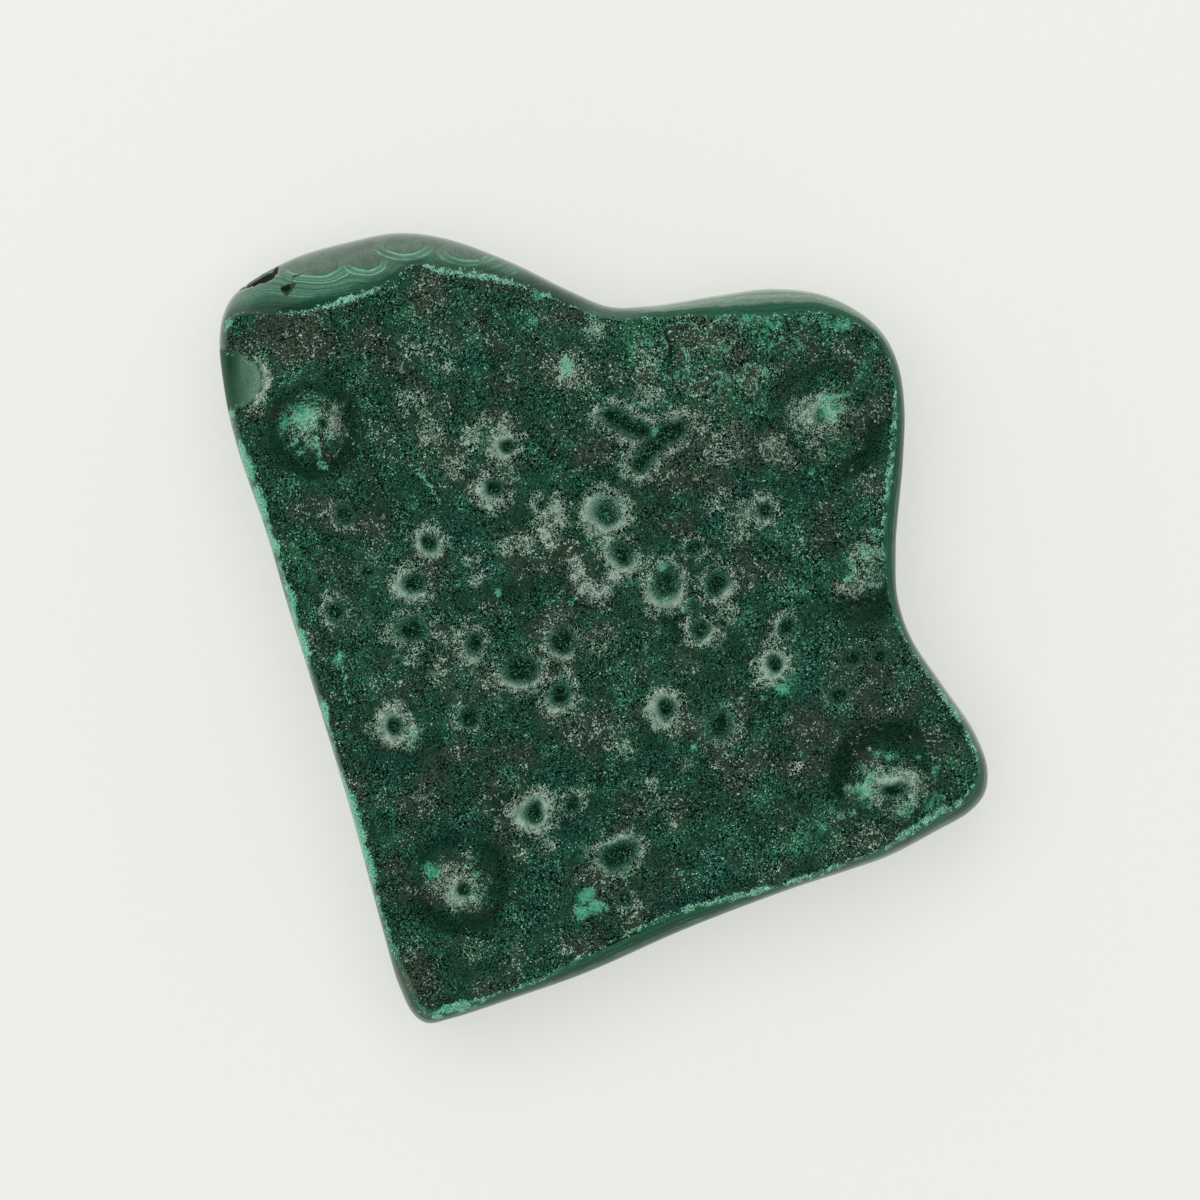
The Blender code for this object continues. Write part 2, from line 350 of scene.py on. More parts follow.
SWELLS = each(
    Swell,
    (-8.0, 14.0, 0.9, 20.0), (22.0, -14.0, 0.6, 16.0), (-24.0, -12.0, 0.5, 14.0), (-20.0, 42.0, -0.6, 16.0),
    (4.0, -36.0, -0.5, 14.0),
)
KNOBS = each(
    Knob,
    (-48.1, 32.9, 2.1, 4.4, 1.5, 6.9), (36.9, 33.8, 2.4, 5.0, 1.7, 8.2), (42.7, 9.6, 1.7, 3.8, 1.2, 6.2),
    (48.5, -26.3, 2.0, 4.6, 2.0, 8.2), (-24.0, -42.9, 2.1, 4.8, 1.8, 7.4),
)
CRATERS = each(
    Crater,
    (-16.1, 30.3, 1.2, 2.8, 0.8, 180, 0.4), (-18.3, 23.1, 1.3, 3.0, 0.7, 215, 0.8),
    (0.4, 19.1, 2.1, 3.6, 1.15, 190, 0.5, 1, 0, 0.72), (-10.6, 20.4, 0.7, 2.0, 0.5, 200, 0.3),
    (-28.9, 14.1, 1.3, 2.7, 0.72, 225, 0.4), (-31.4, 7.1, 1.5, 3.2, 0.72, 205, 0.65),
    (3.2, 12.1, 1.7, 3.2, 0.9, 225, 0.7, 1.2, 130), (10.5, 7.4, 2.0, 3.5, 0.9, 290, 0.6, 1.35, 90, 0.85),
    (15.2, 12.8, 1.0, 2.3, 0.35, 0, 0.3), (19.0, 7.4, 1.8, 3.5, 0.6, 300, 0.6),
    (16.1, -0.2, 1.5, 3.2, 0.6, 265, 0.6), (26.8, 19.3, 1.2, 3.0, 0.7, 190, 0.6),
    (28.2, -6.2, 1.3, 2.8, 0.85, 200, 0.3), (30.4, 0.1, 1.3, 2.5, 0.45, 170, 0.7, 1.2, 90),
    (10.4, -13.4, 1.5, 3.2, 0.8, 210, 0.4), (19.0, -16.1, 2.0, 3.7, 0.3, 340, 0.6, 1.2, 20),
    (-7.1, -11.1, 1.7, 3.1, 0.72, 290, 0.5, 1.2, 60), (-13.8, -6.7, 2.0, 3.6, 0.72, 285, 0.8, 1.2, 0),
    (-7.1, -2.0, 2.0, 3.3, 0.55, 270, 0.7), (-21.6, -2.4, 1.3, 3.0, 0.6, 180, 0.5),
    (-34.5, -16.2, 1.2, 3.1, 0.95, 205, 0.45), (-22.5, -14.7, 1.5, 2.8, 0.4, 220, 0.6),
    (-32.0, -0.2, 1.8, 3.3, 0.45, 200, 0.5, 1.4, 10), (-44.6, 2.8, 1.3, 2.7, 0.4, 180, 0.6),
    (-43.1, 18.6, 1.5, 3.2, 0.35, 235, 0.8), (-39.5, 9.4, 1.3, 2.7, 0.15, 200, 0.3),
    (-11.3, -30.7, 1.5, 3.2, 0.9, 240, 0.3), (-5.1, -29.1, 1.0, 2.5, 0.35, 300, 0.3),
    (2.4, -37.7, 2.0, 3.1, 0.65, 140, 0.2, 1.5, 14), (3.5, -44.6, 1.2, 2.3, 0.4, 340, 0.5),
    (41.5, -4.6, 1.3, 2.5, 0.15, 200, 0.3), (46.0, -4.6, 1.2, 2.3, 0.12, 200, 0.3),
    (39.0, -11.2, 1.5, 3.0, 0.15, 180, 0.3), (-46.6, 33.7, 0.8, 2.7, 0.6, 35, 0.8),
    (36.4, 35.0, 1.0, 3.4, 0.85, 150, 0.75), (48.3, -27.0, 1.2, 2.9, 0.8, 85, 0.8, 1.8, 4),
    (-23.2, -43.3, 1.2, 3.3, 1.0, 205, 0.75),
) + (
    Valley(((1.2, 35.0, 6.0, 32.6), (13.0, 33.4, 9.4, 32.0), (8.8, 30.8, 5.6, 26.6)), 1.35, 0.42, 0.9),
)
# Thin pale veins across the natural face.
VEINS = each(
    Vein,
    (-47.9, 33.4, -47.3, 27.4, 0.42, 1.0), (-47.3, 27.4, -46.2, 26.4, 0.5, 1.0),
    (-30.2, 25.6, -27.2, 20.6, 0.45, 0.95), (-44.0, -4.2, -43.2, -8.6, 0.5, 0.9),
    (-43.4, -8.0, -42.7, -12.8, 0.35, 0.85), (-2.7, 31.4, -0.4, 30.4, 0.3, 0.9),
    (35.5, 38.4, 40.6, 39.1, 0.45, 0.9), (-53.0, 29.9, -50.8, 31.4, 0.35, 0.8),
    (-45.8, 30.8, -44.2, 32.8, 0.35, 0.85),
)
# Painted shade: the darkest stretches of ground round the large knobs, and a few dark blobs.
PAINTED_SHADES = each(
    Dusk,
    (-48.1, 32.9, 6.8, 1.7, 0.8), (-48.1, 32.9, 6.9, 1.5, 1.1, -80.0, 70.0),
    (36.9, 33.8, 9.0, 1.7, 0.6, 125.0, 50.0), (36.9, 33.8, 7.4, 1.6, 0.6, 165.0, 40.0),
    (36.9, 33.8, 8.4, 2.0, 1.1, -30.0, 45.0), (42.7, 9.6, 6.6, 2.4, 1.2, -75.0, 60.0),
    (42.7, 9.6, 7.6, 1.6, 0.6, 240.0, 30.0), (48.5, -26.3, 9.7, 2.1, 1.3, 130.0, 65.0),
    (-16.6, -29.4, 0.0, 2.4, 1.3), (-48.6, 18.6, 0.0, 3.0, 0.8), (7.4, 1.8, 0.0, 1.8, 0.7),
    (-28.0, -1.6, 0.0, 2.4, 0.7), (7.6, 24.6, 0.0, 2.6, 1.0), (-24.0, -42.9, 7.3, 1.7, 0.8),
    (-24.0, -42.9, 6.8, 1.8, 1.0, 240.0, 45.0),
)
# Dark cracks and hollows in the wide bevel and along the foot.
CRACKS = each(
    Vein,
    (-54.4, 60.1, -54.9, 59.0, 0.35, 0.9), (-51.6, 58.2, -48.3, 59.2, 0.28, 1.0),
    (-52.6, 57.6, -51.6, 58.2, 0.24, 0.8), (-53.5, 56.4, -52.4, 56.9, 0.36, 1.0),
    (-52.8, 55.6, -51.6, 57.0, 0.75, 0.6), (-2.0, -54.0, 5.9, -50.4, 0.4, 0.8),
    (9.4, 51.3, 11.2, 46.5, 0.4, 0.9), (11.2, 46.5, 10.7, 42.5, 0.4, 0.8),
    (10.7, 42.5, 13.2, 38.0, 0.4, 0.7), (-4.8, 4.2, -1.6, 3.0, 0.35, 0.8), (-1.6, 3.0, 0.6, 3.6, 0.35, 0.8),
    (0.6, 3.6, 3.2, 6.4, 0.35, 0.8), (3.2, 6.4, 6.2, 6.6, 0.35, 0.6),
)
# The natural hollow low in the wide bevel.
CAVITY = Cavity(-57.9, 58.4, 19.6, 32.0, 3.6, 2.0, 1.3)
# Where bright mint green crust or dust lies on the natural face.
MINT_PATCHES = each(
    Patch,
    (-49.4, 35.2, 2.6, 0.95), (-52.7, 34.2, 1.5, 0.8), (-50.6, 29.4, 0.8, 0.8), (-47.0, 27.3, 0.8, 0.7),
    (37.7, 36.0, 2.4, 0.95), (37.0, 38.4, 1.2, 0.8), (36.2, 40.6, 1.2, 0.5), (38.7, 38.6, 1.0, 0.8),
    (40.9, 38.8, 0.7, 0.7), (34.4, 25.6, 0.7, 0.6), (29.0, 25.3, 0.7, 0.6), (40.7, 8.4, 1.3, 0.7),
    (43.7, 12.9, 1.9, 0.6), (41.2, 11.0, 1.6, 0.55), (45.6, 15.8, 1.8, 0.55), (43.3, -27.0, 1.5, 1.3),
    (44.4, -29.7, 0.8, 0.7), (45.7, -20.7, 0.8, 0.7), (43.0, -23.2, 0.7, 0.7), (48.0, -23.4, 1.3, 0.5),
    (52.0, -21.6, 0.7, 0.8), (54.7, -23.7, 0.8, 0.6), (51.5, -27.6, 1.0, 0.7), (54.4, -29.6, 1.2, 0.7),
    (56.2, -31.0, 1.5, 0.85), (53.6, -31.9, 1.2, 0.75), (49.8, -30.8, 1.8, 0.5), (46.2, -24.2, 1.2, 0.55),
    (44.0, -25.2, 1.2, 0.9), (-28.3, -40.6, 1.8, 0.8), (-31.8, -17.8, 1.3, 0.75), (47.4, -21.2, 1.6, 0.5),
    (-12.0, 50.8, 1.7, 0.45), (33.0, -35.6, 2.4, 0.4), (31.2, 6.6, 1.4, 0.55), (27.4, 46.6, 2.4, 0.4),
    (51.4, -29.4, 1.6, 0.6), (-48.6, 30.8, 1.6, 0.6), (43.0, 43.0, 2.4, 0.36), (7.4, 47.0, 2.0, 0.36),
    (55.4, -29.0, 1.4, 0.5), (31.4, -8.8, 1.4, 0.5), (-20.8, -40.9, 0.7, 0.8), (-21.0, -44.4, 0.8, 0.7),
    (-24.8, -44.2, 1.3, 0.5), (-17.5, 6.1, 0.8, 1), (8.2, 32.6, 0.7, 1), (-5.0, 4.3, 0.7, 0.7),
    (10.0, 9.8, 0.8, 0.8), (10.5, 4.8, 0.8, 0.9), (13.5, 3.1, 0.7, 0.9), (26.2, 21.3, 0.7, 0.7),
    (30.2, -10.1, 1.3, 1), (26.5, -11.2, 0.7, 0.7), (29.4, 1.9, 0.7, 0.6), (31.0, 6.3, 0.7, 0.5),
    (-11.1, -5.2, 0.7, 0.6), (-32.5, -20.2, 0.8, 0.6), (-30.8, -17.1, 0.7, 0.6), (-2.7, -44.8, 1.2, 1.3),
    (-3.6, -47.2, 1.3, 1.3), (-1.4, -46.5, 1.2, 1.3), (0.2, -46.9, 0.6, 0.8), (3.5, -41.4, 0.7, 0.6),
    (3.4, -20.2, 1.3, 0.4), (14.5, -19.4, 0.7, 0.8), (12.9, -40.9, 0.7, 0.7), (32.4, -21.1, 0.8, 0.8),
    (35.9, -32.6, 1.5, 0.6), (-44.0, -5.7, 1.2, 0.7), (-43.3, -8.7, 0.7, 0.6), (-6.0, 43.4, 1.5, 0.9),
    (-10.6, 54.9, 1.5, 0.7), (-1.6, 49.3, 2.3, 0.35), (20.6, 51.9, 1.7, 0.55), (24.4, 51.4, 1.9, 0.6),
    (28.2, 50.6, 2.2, 0.6), (37.2, 50.9, 1.6, 0.6), (39.7, 50.6, 1.7, 0.75), (-6.5, 42.1, 1.3, 0.6),
    (0.4, 19.1, 0.7, 0.5), (-10.6, -12.1, 0.5, 0.4), (2.4, 9.4, 0.5, 0.5), (15.5, 44.3, 1.7, 0.35),
    (22.7, 42.1, 2.7, 0.25), (17.5, 37.6, 2.0, 0.25),
)
# Where the crust along the left edge is thickest.
EDGE_PATCHES = each(
    Patch,
    (-25.4, 60.4, 4.0, 0.5), (-61.6, 35.3, 1.2, 0.6), (-59.4, 26.6, 2.8, 0.7), (-56.8, 20.4, 3.2, 0.7),
    (-55.0, 13.4, 1.6, 0.7), (-51.6, 4.6, 2.4, 0.4), (-49.4, -2.2, 3.2, 0.8), (-45.9, -14.0, 2.0, 0.5),
    (-42.0, -28.6, 2.6, 0.6), (-40.3, -33.6, 3.0, 0.8), (-38.6, -38.4, 2.2, 0.6),
)
# Where the face is rubbed pale, with painted sheen on it, apart from the crater rims.
WEAR_AND_SHEEN_PATCHES = each(
    Patch,
    (6.9, 44.8, 2.3, 0.35), (28.4, 30.1, 2.2, 0.5), (31.2, 27.6, 1.5, 0.45), (22.5, 18.9, 1.7, 0.5),
    (-22.3, 11.8, 1.5, 0.4), (-21.5, 8.6, 1.5, 0.4), (-34.8, -0.9, 1.5, 0.35), (-34.5, -2.6, 1.3, 0.35),
    (-31.6, -5.1, 1.5, 0.4), (-27.8, -7.9, 1.7, 0.4), (1.5, -19.4, 1.5, 0.45), (3.4, -20.2, 1.3, 0.5),
    (13.5, -22.9, 1.3, 0.3), (7.7, -25.9, 1.5, 0.3), (12.2, -32.4, 1.2, 0.3), (31.9, -23.4, 1.5, 0.35),
    (-5.2, 11.4, 1.1, 0.75), (-4.6, 9.0, 1.3, 0.85), (-3.2, 6.9, 1.4, 1.0), (-1.6, 5.6, 1.4, 1.0),
    (0.0, 6.8, 1.3, 0.95), (1.6, 8.6, 1.4, 0.95), (3.6, 9.2, 1.3, 0.8), (5.6, 10.6, 1.1, 0.6),
    (-7.6, 20.6, 1.7, 1.0), (-7.4, 18.4, 1.6, 0.9), (-9.9, 15.6, 1.9, 1.05), (-9.9, 18.4, 1.7, 0.8),
    (19.4, 29.8, 3.4, 0.33), (16.6, 33.4, 2.4, 0.33), (-28.5, 31.6, 2.3, 0.42), (-21.4, 31.2, 2.3, 0.5),
    (-19.4, 34.6, 1.8, 0.4), (-32.8, 37.8, 2.2, 0.42), (-30.4, 37.4, 1.8, 0.38), (-16.3, 13.9, 1.7, 0.6),
    (-9.8, -35.7, 1.7, 0.6), (5.7, -46.2, 1.2, 0.3), (20.9, 2.8, 1.7, 0.55), (34.2, 36.1, 1.0, 0.6),
    (-44.8, 35.4, 1.2, 0.6), (-25.1, -44.2, 1.5, 0.5), (50.5, -24.9, 1.3, 0.5), (42.4, 7.3, 1.2, 0.45),
    (44.0, 13.1, 1.8, 0.4), (-1.6, 49.3, 3.0, 0.35), (-5.6, 42.9, 3.0, 0.4), (-27.3, 46.3, 3.3, 0.25),
    (-32.3, 46.3, 2.3, 0.3), (-26.1, 43.8, 1.7, 0.3), (-16.5, 33.8, 2.3, 0.35), (-0.5, 4.6, 2.2, 0.35),
    (-0.6, -2.1, 3.3, 0.2), (19.4, 21.3, 3.0, 0.3), (16.9, 7.1, 2.3, 0.3), (23.5, 16.3, 2.3, 0.3),
    (-29.0, 34.6, 2.7, 0.2), (7.7, 38.8, 2.3, 0.5), (12.7, 35.4, 1.3, 0.6), (0.0, 34.6, 1.3, 0.55),
    (4.5, 28.8, 1.3, 0.5), (11.9, 30.4, 1.2, 0.5), (35.2, 29.6, 2.3, 0.3), (44.4, 14.6, 2.3, 0.35),
    (-48.6, 33.2, 3.2, 0.5), (37.2, 35.0, 3.6, 0.45), (43.3, 8.6, 2.6, 0.35), (48.9, -28.2, 3.6, 0.36),
    (48.6, -24.6, 1.6, 0.8), (43.6, 11.8, 2.5, 0.5), (41.4, 6.9, 1.8, 0.5), (-24.4, -42.9, 3.2, 0.4),
    (-24.8, 26.8, 2.2, 0.4), (39.4, 6.4, 1.9, 0.35), (-24.6, -1.2, 1.7, 0.45), (23.4, 18.4, 1.9, 0.62),
    (12.0, 35.0, 1.7, 0.7), (-12.6, 14.6, 1.8, 0.5), (-0.6, 22.8, 1.6, 0.5),
)
# Where the face is a lighter green.
LIGHT_PATCHES = each(
    Patch,
    (58.3, -22.9, 3.2, 0.35), (51.0, -20.7, 1.9, 0.32), (32.6, -36.8, 5.2, 0.3), (22.8, -36.6, 4.4, 0.3),
    (-9.3, 50.2, 4.2, 0.34), (6.8, 46.1, 2.4, 0.4), (7.2, 38.3, 4.0, 0.36), (21.3, 35.0, 3.2, 0.35),
    (-24.1, 44.9, 3.0, 0.36), (-50.4, 41.1, 3.2, 0.32), (-56.0, 34.7, 2.0, 0.35), (44.9, 40.7, 2.8, 0.35),
    (31.1, 6.2, 2.3, 0.4), (23.9, 2.2, 1.9, 0.42), (15.1, -5.8, 2.1, 0.35), (3.7, -13.1, 2.3, 0.35),
    (31.0, -8.3, 1.8, 0.4), (50.1, -9.1, 2.3, 0.38), (-24.0, -9.0, 2.1, 0.38), (-25.1, 2.1, 2.1, 0.36),
    (-18.0, 10.2, 2.6, 0.4), (-32.1, 15.3, 1.9, 0.4), (-8.3, 34.2, 2.6, 0.36), (-49.0, 10.0, 2.3, 0.32),
    (-32.3, 54.2, 2.4, 0.32), (-31.6, -41.3, 1.9, 0.36),
)
# Growth eyes on the wide bevel: x, y, half width and half height.
BEVEL_EYES = (
    (-48.9, 60.6, 5.0, 2.1), (-39.6, 60.9, 2.5, 1.5), (-33.2, 63.8, 3.4, 1.7), (-22.4, 62.4, 3.4, 1.5),
)
# Where green threads cross the face in cells.
LACE_PATCHES = each(
    Patch,
    (17.0, 47.0, 7.0, 1.0), (23.0, 42.0, 6.0, 0.9), (8.0, 48.0, 4.5, 1.0), (30.0, 49.5, 5.0, 0.8),
    (-1.0, 36.5, 4.0, 0.3), (-26.0, 53.0, 5.0, 0.4), (36.0, 2.0, 8.0, 0.3), (43.8, 10.2, 3.6, 0.9),
    (41.0, -29.0, 5.0, 0.5), (-38.0, 3.0, 9.0, 0.3),
)
# Where the face is brown rather than green.
BROWN_PATCHES = each(
    Patch,
    (-52.6, 48.7, 4.5, 1.0), (-27.7, 56.9, 2.6, 0.9), (-5.6, 51.0, 3.0, 0.8), (16.2, 49.8, 2.6, 1.0),
    (14.0, 46.1, 2.0, 0.7), (22.5, 45.9, 2.4, 0.7), (16.0, 26.3, 9.0, 0.55), (10.0, 30.0, 6.0, 0.4),
    (46.0, -8.0, 8.0, 0.45), (-5.6, 2.0, 8.0, 0.3), (-45.0, 20.0, 6.0, 0.35), (30.0, 40.0, 8.0, 0.35),
    (35.0, -20.0, 7.0, 0.35), (-30.0, -25.0, 9.0, 0.3), (-33.6, -59.0, 4.0, 1.0), (5.0, -50.0, 8.0, 0.3),
)


@dataclass
class SlabForm:
    """The slab's form: outline, rim, side, back and natural face, in mm."""

    face_height: float = 27.0
    rim_drop: float = 4.2
    rim_drop_per_width: float = 0.75
    back_inset: float = 5.5
    side_squareness: float = 0.72
    rim_start_angle: float = 28.0
    turn_smoothing: float = 6.0
    cells_across: int = 264
    cells_down: int = 252
    rim_rings: int = 18
    side_rings: int = 10
    back_insets: tuple[float, ...] = (6.5, 9.0)
    steps_per_stretch: int = 48
    scoop_x: float = -64.2
    scoop_y: float = 41.0
    scoop_half_width: float = 8.8
    scoop_half_length: float = 6.4
    scoop_depth: float = 3.2

    def __post_init__(self) -> None:
        """Works out the outline and the perimeter's places, directions and widths."""
        outline = self.smooth_outline()
        self.shift = (outline[:, :2].min(axis=0) + outline[:, :2].max(axis=0)) / 2.0
        outline[:, :2] -= self.shift
        closed = np.vstack([outline, outline[:1]])
        steps = np.linalg.norm(np.diff(closed[:, :2], axis=0), axis=1)
        lengths = np.concatenate([[0.0], np.cumsum(steps)])
        stations = self.stations(outline, lengths)
        rows = self.read_round(closed, lengths, stations)
        self.place, self.width = rows[:, :2], np.maximum(rows[:, 2], 0.0)
        self.crust, self.gleam = rows[:, 3], np.clip(rows[:, 4], 0.0, 1.0)
        half = self.turn_smoothing / 2.0
        ahead, behind = (self.read_round(closed[:, :2], lengths, stations + step) for step in (half, -half))
        along = (ahead - behind) / np.linalg.norm(ahead - behind, axis=1, keepdims=True)
        self.inward = np.column_stack([along[:, 1], -along[:, 0]])

    def smooth_outline(self) -> np.ndarray:
        """Points along a closed centripetal Catmull-Rom curve through OUTLINE."""
        given = np.array(OUTLINE)
        points = []
        for index in range(len(given)):
            before, start, end, after = (given[(index + k) % len(given)] for k in (-1, 0, 1, 2))
            pairs = ((before, start), (start, end), (end, after))
            gaps = [math.dist(a[:2], b[:2]) ** 0.5 for a, b in pairs]
            t0, t1, t2, t3 = np.concatenate([[0.0], np.cumsum(gaps)])
            for moment in np.linspace(t1, t2, self.steps_per_stretch, endpoint=False):
                first = before + (start - before) * (moment - t0) / (t1 - t0)
                second = start + (end - start) * (moment - t1) / (t2 - t1)
                third = end + (after - end) * (moment - t2) / (t3 - t2)
                near = first + (second - first) * (moment - t0) / (t2 - t0)
                far = second + (third - second) * (moment - t1) / (t3 - t1)
                points.append(near + (far - near) * (moment - t1) / (t2 - t1))
        return np.array(points)

    def stations(self, outline: np.ndarray, lengths: np.ndarray) -> np.ndarray:
        """Lengths along the outline of the perimeter's vertices, evenly spread on its four edges."""
        starts = []
        for corner in np.array(CORNERS) - self.shift:
            starts.append(lengths[np.argmin(np.linalg.norm(outline[:, :2] - corner, axis=1))])
        ends = starts[1:] + [starts[0] + lengths[-1]]
        runs = zip(starts, ends, (self.cells_across, self.cells_down) * 2)
        return np.concatenate([np.linspace(a, b, count, endpoint=False) for a, b, count in runs])

    @staticmethod
    def read_round(closed: np.ndarray, lengths: np.ndarray, where: np.ndarray) -> np.ndarray:
        """Values given round a closed line, read at any lengths along it."""
        where = np.mod(where, lengths[-1])
        return np.column_stack([np.interp(where, lengths, column) for column in closed.T])

    def inset(self, distance: np.ndarray | float) -> np.ndarray:
        """Perimeter places moved inwards by a distance."""
        return self.place + self.inward * np.reshape(distance, (-1, 1))

    def plan(self, place: np.ndarray) -> Plan:
        """Places of the mesh, read in the frame in which the features are given."""
        return Plan(*(place[:, :2] + self.shift).T)

    def base_height(self, plan: Plan) -> np.ndarray:
        """Height of the natural face as in the CAD solid, with its swells, knobs, moats and scoop."""
        height = np.full_like(plan.x, self.face_height)
        for feature in SWELLS + KNOBS:
            height += feature.height(plan)
        return height - self.scoop_depth * np.maximum(1.0 - self.scoop_reach(plan) ** 2, 0.0)

    def scoop_reach(self, plan: Plan) -> np.ndarray:
        """Distance from the scoop's lowest place, as a share of the way to its edge."""
        across = (plan.x - self.scoop_x) / self.scoop_half_width
        return np.hypot(across, (plan.y - self.scoop_y) / self.scoop_half_length)

    @staticmethod
    def growth(plan: Plan) -> np.ndarray:
        """Broad growth lumps of the natural face, in mm."""
        return 0.42 * plan.lumps(8.0, 3) + 0.26 * plan.lumps(3.6, 5)

    def fine_height(self, plan: Plan) -> np.ndarray:
        """Fine relief of the natural face: craters and growth lumps."""
        height = self.growth(plan)
        wavy = plan.wavy()
        for crater in CRATERS:
            height += crater.height(wavy)
        return height + 0.10 * plan.lumps(1.7, 7) + 0.05 * plan.lumps(0.9, 11)

    def rim_profile(self, share: float, drop: np.ndarray) -> tuple[np.ndarray, np.ndarray]:
        """Inset and fall of the rim at a share of its way down."""
        start = math.radians(self.rim_start_angle)
        angle = start + (math.pi / 2.0 - start) * share
        inset = self.width * (1.0 - math.sin(angle)) / (1.0 - math.sin(start))
        return inset, drop * (1.0 - math.cos(angle) / math.cos(start))

    def side_profile(self, share: float, height: np.ndarray) -> tuple[float, np.ndarray]:
        """Inset and height of the side at a share of its way down to the back."""
        angle = math.pi / 2.0 * share
        inset = self.back_inset * (1.0 - abs(math.cos(angle)) ** self.side_squareness)
        return inset, height * (1.0 - math.sin(angle) ** self.side_squareness)

    def face_places(self) -> np.ndarray:
        """Places of the face's grid vertices, rows from the top edge down, as a Coons patch."""
        across, down = self.cells_across, self.cells_down
        edge = self.inset(self.width)
        top = edge[: across + 1][None]
        right = edge[across : across + down + 1][:, None]
        bottom = edge[across + down : 2 * across + down + 1][::-1][None]
        left = np.vstack([edge[2 * across + down :], edge[:1]])[::-1][:, None]
        u = np.linspace(0.0, 1.0, across + 1)[None, :, None]
        v = np.linspace(0.0, 1.0, down + 1)[:, None, None]
        between_edges = (1 - v) * top + v * bottom + (1 - u) * left + u * right
        upper = (1 - u) * top[:, :1] + u * top[:, -1:]
        lower = (1 - u) * bottom[:, :1] + u * bottom[:, -1:]
        return between_edges - (1 - v) * upper - v * lower

    def perimeter_order(self, row: np.ndarray, column: np.ndarray) -> np.ndarray:
        """Position of edge vertices in the clockwise perimeter."""
        across, down = self.cells_across, self.cells_down
        order = np.where(row == 0, column, 0)
        order = np.where((column == across) & (row > 0), across + row, order)
        order = np.where((row == down) & (column < across), 2 * across + down - column, order)
        return np.where((column == 0) & (row > 0) & (row < down), 2 * (across + down) - row, order)


